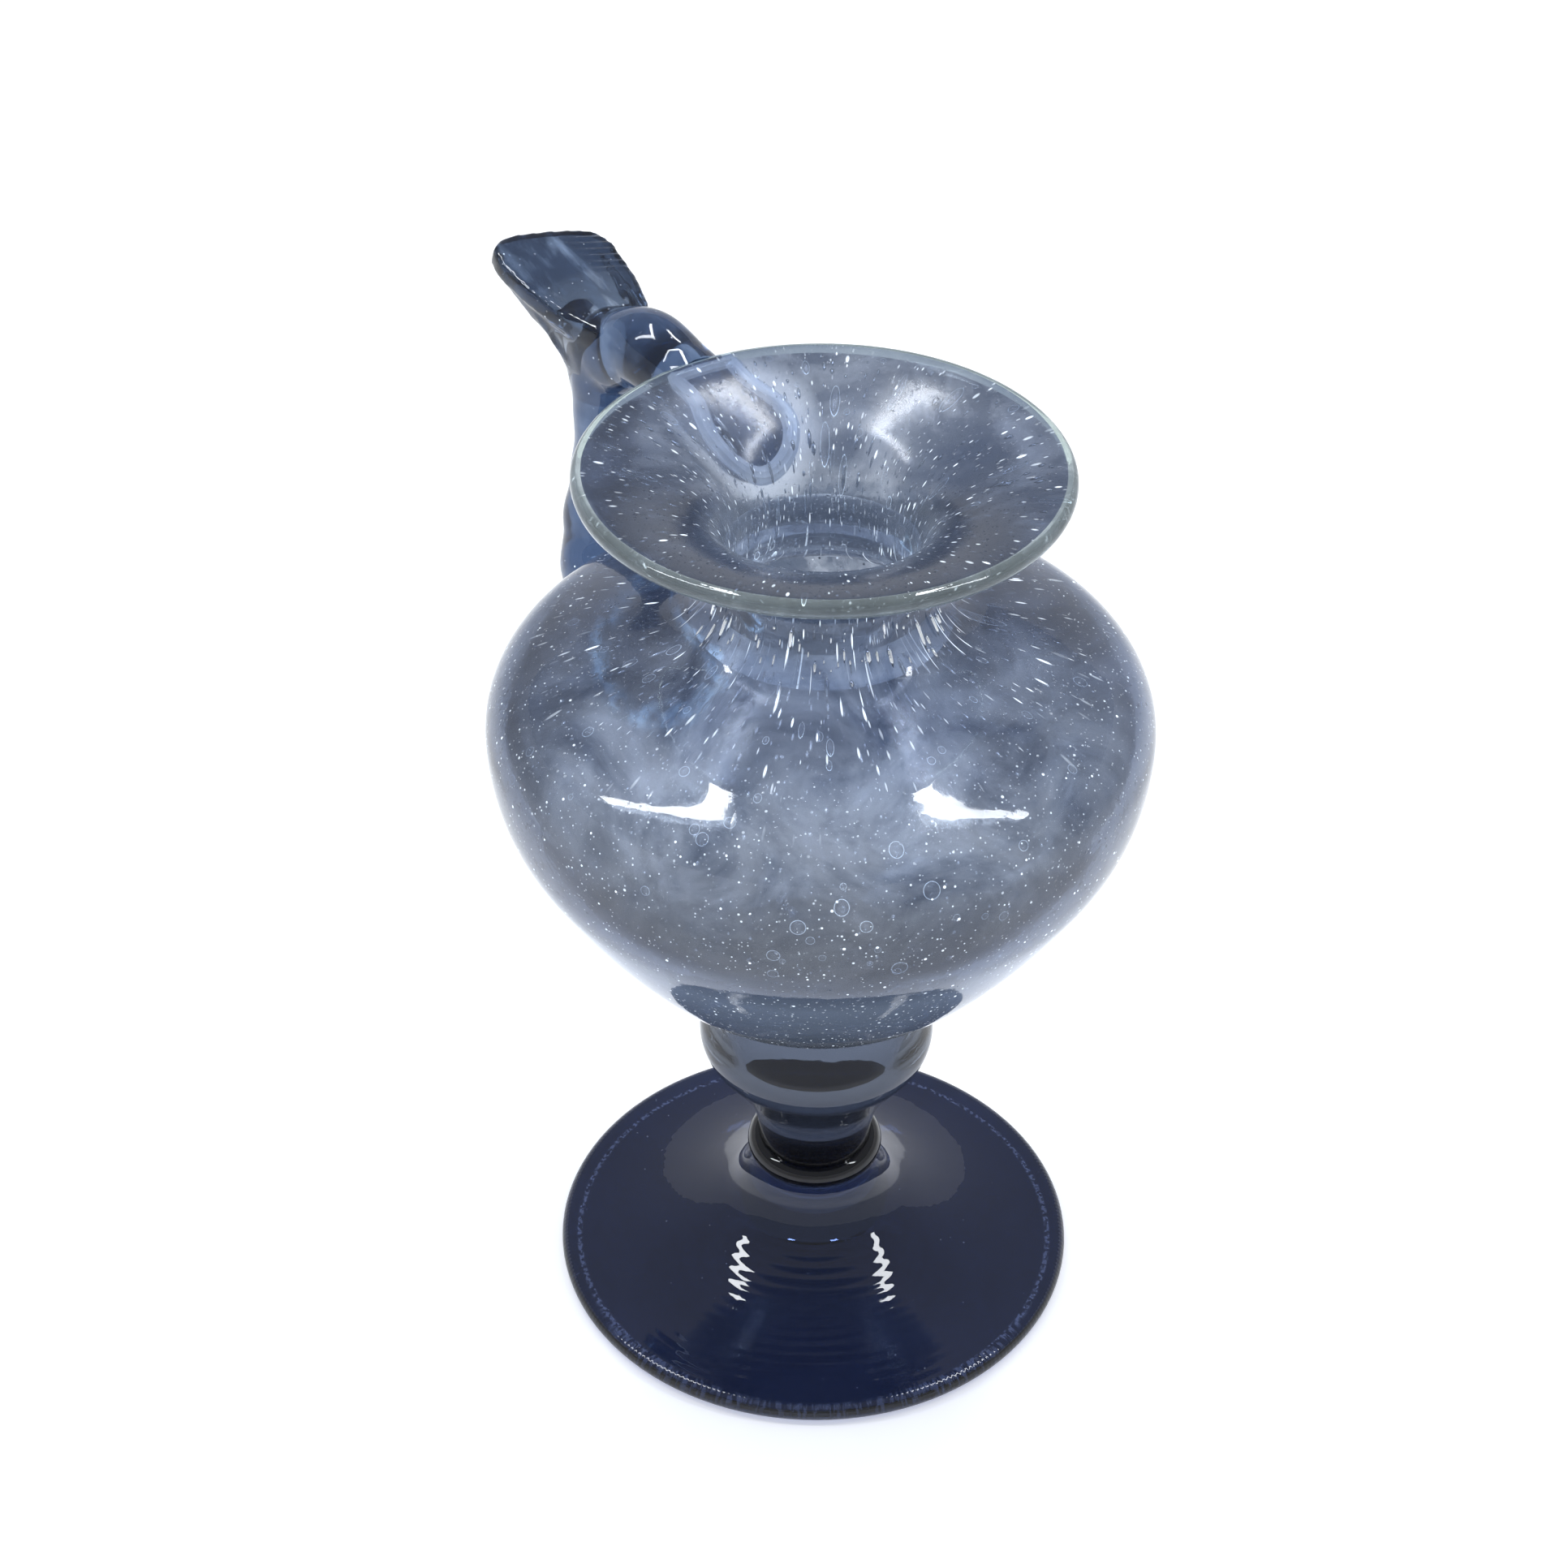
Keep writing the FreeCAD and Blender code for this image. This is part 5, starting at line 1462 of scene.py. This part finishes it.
def strip_light(name, start, end, width, power, colour):
    """A soft strip from one place to another, turned to the lamp's middle."""
    start, end = from_view(*start), from_view(*end)
    middle = (start + end) * 0.5
    along = (end - start).normalized()
    back = (middle - Vector((0.0, 0.0, 0.09))).normalized()
    side = back.cross(along).normalized()
    back = along.cross(side).normalized()
    data = bpy.data.lights.new(name, "AREA")
    data.shape, data.size, data.size_y = "RECTANGLE", (end - start).length, width
    data.energy, data.color = power, colour
    light = bpy.data.objects.new(name, data)
    light.matrix_world = Matrix.Translation(middle) @ Matrix((along, side, back)).transposed().to_4x4()
    bpy.context.scene.collection.objects.link(light)
    return light


class LAMP_OT_stage(Operator):
    """Make the pale floor and backdrop, the lights and the camera"""

    bl_idname = "lamp.stage"
    bl_label = "Stage"
    bl_options = {"REGISTER", "UNDO"}

    def execute(self, context):
        scene = context.scene
        cove = [(0.0, 0.0), (0.7, 0.0), (1.4, 0.0), (1.9, 0.02), (2.15, 0.10), (2.3, 0.26), (2.36, 0.5), (2.38, 1.1)]
        steps = 96
        places, faces = [(0.0, 0.0, 0.0)], []
        for r, z in cove[1:]:
            places += [(r * math.cos(math.tau * n / steps), r * math.sin(math.tau * n / steps), z) for n in range(steps)]
        for n in range(steps):
            faces.append((0, 1 + n, 1 + (n + 1) % steps))
            for row in range(len(cove) - 2):
                a, b, after = 1 + row * steps, 1 + (row + 1) * steps, (n + 1) % steps
                faces.append((a + n, b + n, b + after, a + after))
        mesh = bpy.data.meshes.new("floor_and_backdrop")
        mesh.from_pydata([(x, y, z - 0.02 * MM) for x, y, z in places], [], faces)
        mesh.shade_smooth()
        mesh.materials.append(plain_surface("pale_floor", (0.93, 0.93, 0.93), 0.02, 0.30))
        floor = bpy.data.objects.new("floor_and_backdrop", mesh)
        scene.collection.objects.link(floor)

        world = bpy.data.worlds.new("soft_room")
        world.use_nodes = True
        world.node_tree.nodes["Background"].inputs["Color"].default_value = (0.90, 0.94, 1.0, 1.0)
        world.node_tree.nodes["Background"].inputs["Strength"].default_value = 0.45
        scene.world = world
        cool = (0.93, 0.96, 1.0)
        strip_light("left_side_strip", (-0.66, 0.02, 0.70), (-0.17, 0.04, 0.70), 0.06, 1.8, cool)
        strip_light("right_side_strip", (0.70, -0.10, 0.70), (0.19, 0.07, 0.70), 0.06, 1.8, cool)
        strip_light("left_inner_strip", (-0.18, 0.05, 0.70), (-0.11, 0.40, 0.70), 0.04, 1.1, cool)
        strip_light("right_inner_strip", (0.19, 0.07, 0.70), (0.12, 0.40, 0.70), 0.04, 1.1, cool)

        data = bpy.data.cameras.new("photo_camera")
        data.lens, data.sensor_width, data.sensor_fit = 70.2, 36.0, "HORIZONTAL"
        data.clip_start, data.clip_end = 0.01, 20.0
        forward = Vector((-0.6449, 0.4686, -0.6038)).normalized()
        right = Vector((0.5878, 0.8090, 0.0)).normalized()
        upward = right.cross(forward).normalized()
        roll = math.radians(0.32)
        right, upward = (
            right * math.cos(roll) + upward * math.sin(roll), upward * math.cos(roll) - right * math.sin(roll)
        )
        camera = bpy.data.objects.new("photo_camera", data)
        camera.matrix_world = (
            Matrix.Translation((0.2775, -0.2079, 0.3525)) @ Matrix((right, upward, -forward)).transposed().to_4x4()
        )
        scene.collection.objects.link(camera)
        scene.camera = camera
        scene.view_settings.view_transform = "Standard"
        return {"FINISHED"}


class LAMP_PT_panel(Panel):
    """The lamp's sizes, colours and pieces."""

    bl_idname = "LAMP_PT_panel"
    bl_label = "Glass Oil Lamp"
    bl_space_type = "VIEW_3D"
    bl_region_type = "UI"
    bl_category = "Oil Lamp"

    def draw(self, context):
        for name in SETTINGS:
            settings = getattr(context.scene, name)
            box = self.layout.box()
            for key in settings.__annotations__:
                box.prop(settings, key)
        for operator in PIECES:
            self.layout.operator(operator.bl_idname)


SETTINGS = {"lamp_shape": LampShape, "lamp_bubbles": LampBubbles, "lamp_colours": LampColours}
PIECES = (LAMP_OT_stage, LAMP_OT_foot, LAMP_OT_stem, LAMP_OT_reservoir, LAMP_OT_handle, LAMP_OT_thumb_rest)


def register():
    for item in (*SETTINGS.values(), *PIECES, LAMP_PT_panel):
        bpy.utils.register_class(item)
    for name, group in SETTINGS.items():
        setattr(bpy.types.Scene, name, PointerProperty(type=group))


def unregister():
    for name in SETTINGS:
        delattr(bpy.types.Scene, name)
    for item in reversed((*SETTINGS.values(), *PIECES, LAMP_PT_panel)):
        bpy.utils.unregister_class(item)


def main():
    register()
    bpy.ops.lamp.stage()
    bpy.ops.lamp.foot()
    bpy.ops.lamp.stem()
    bpy.ops.lamp.reservoir()
    bpy.ops.lamp.handle()
    bpy.ops.lamp.thumb_rest()


if __name__ == "__main__":
    main()
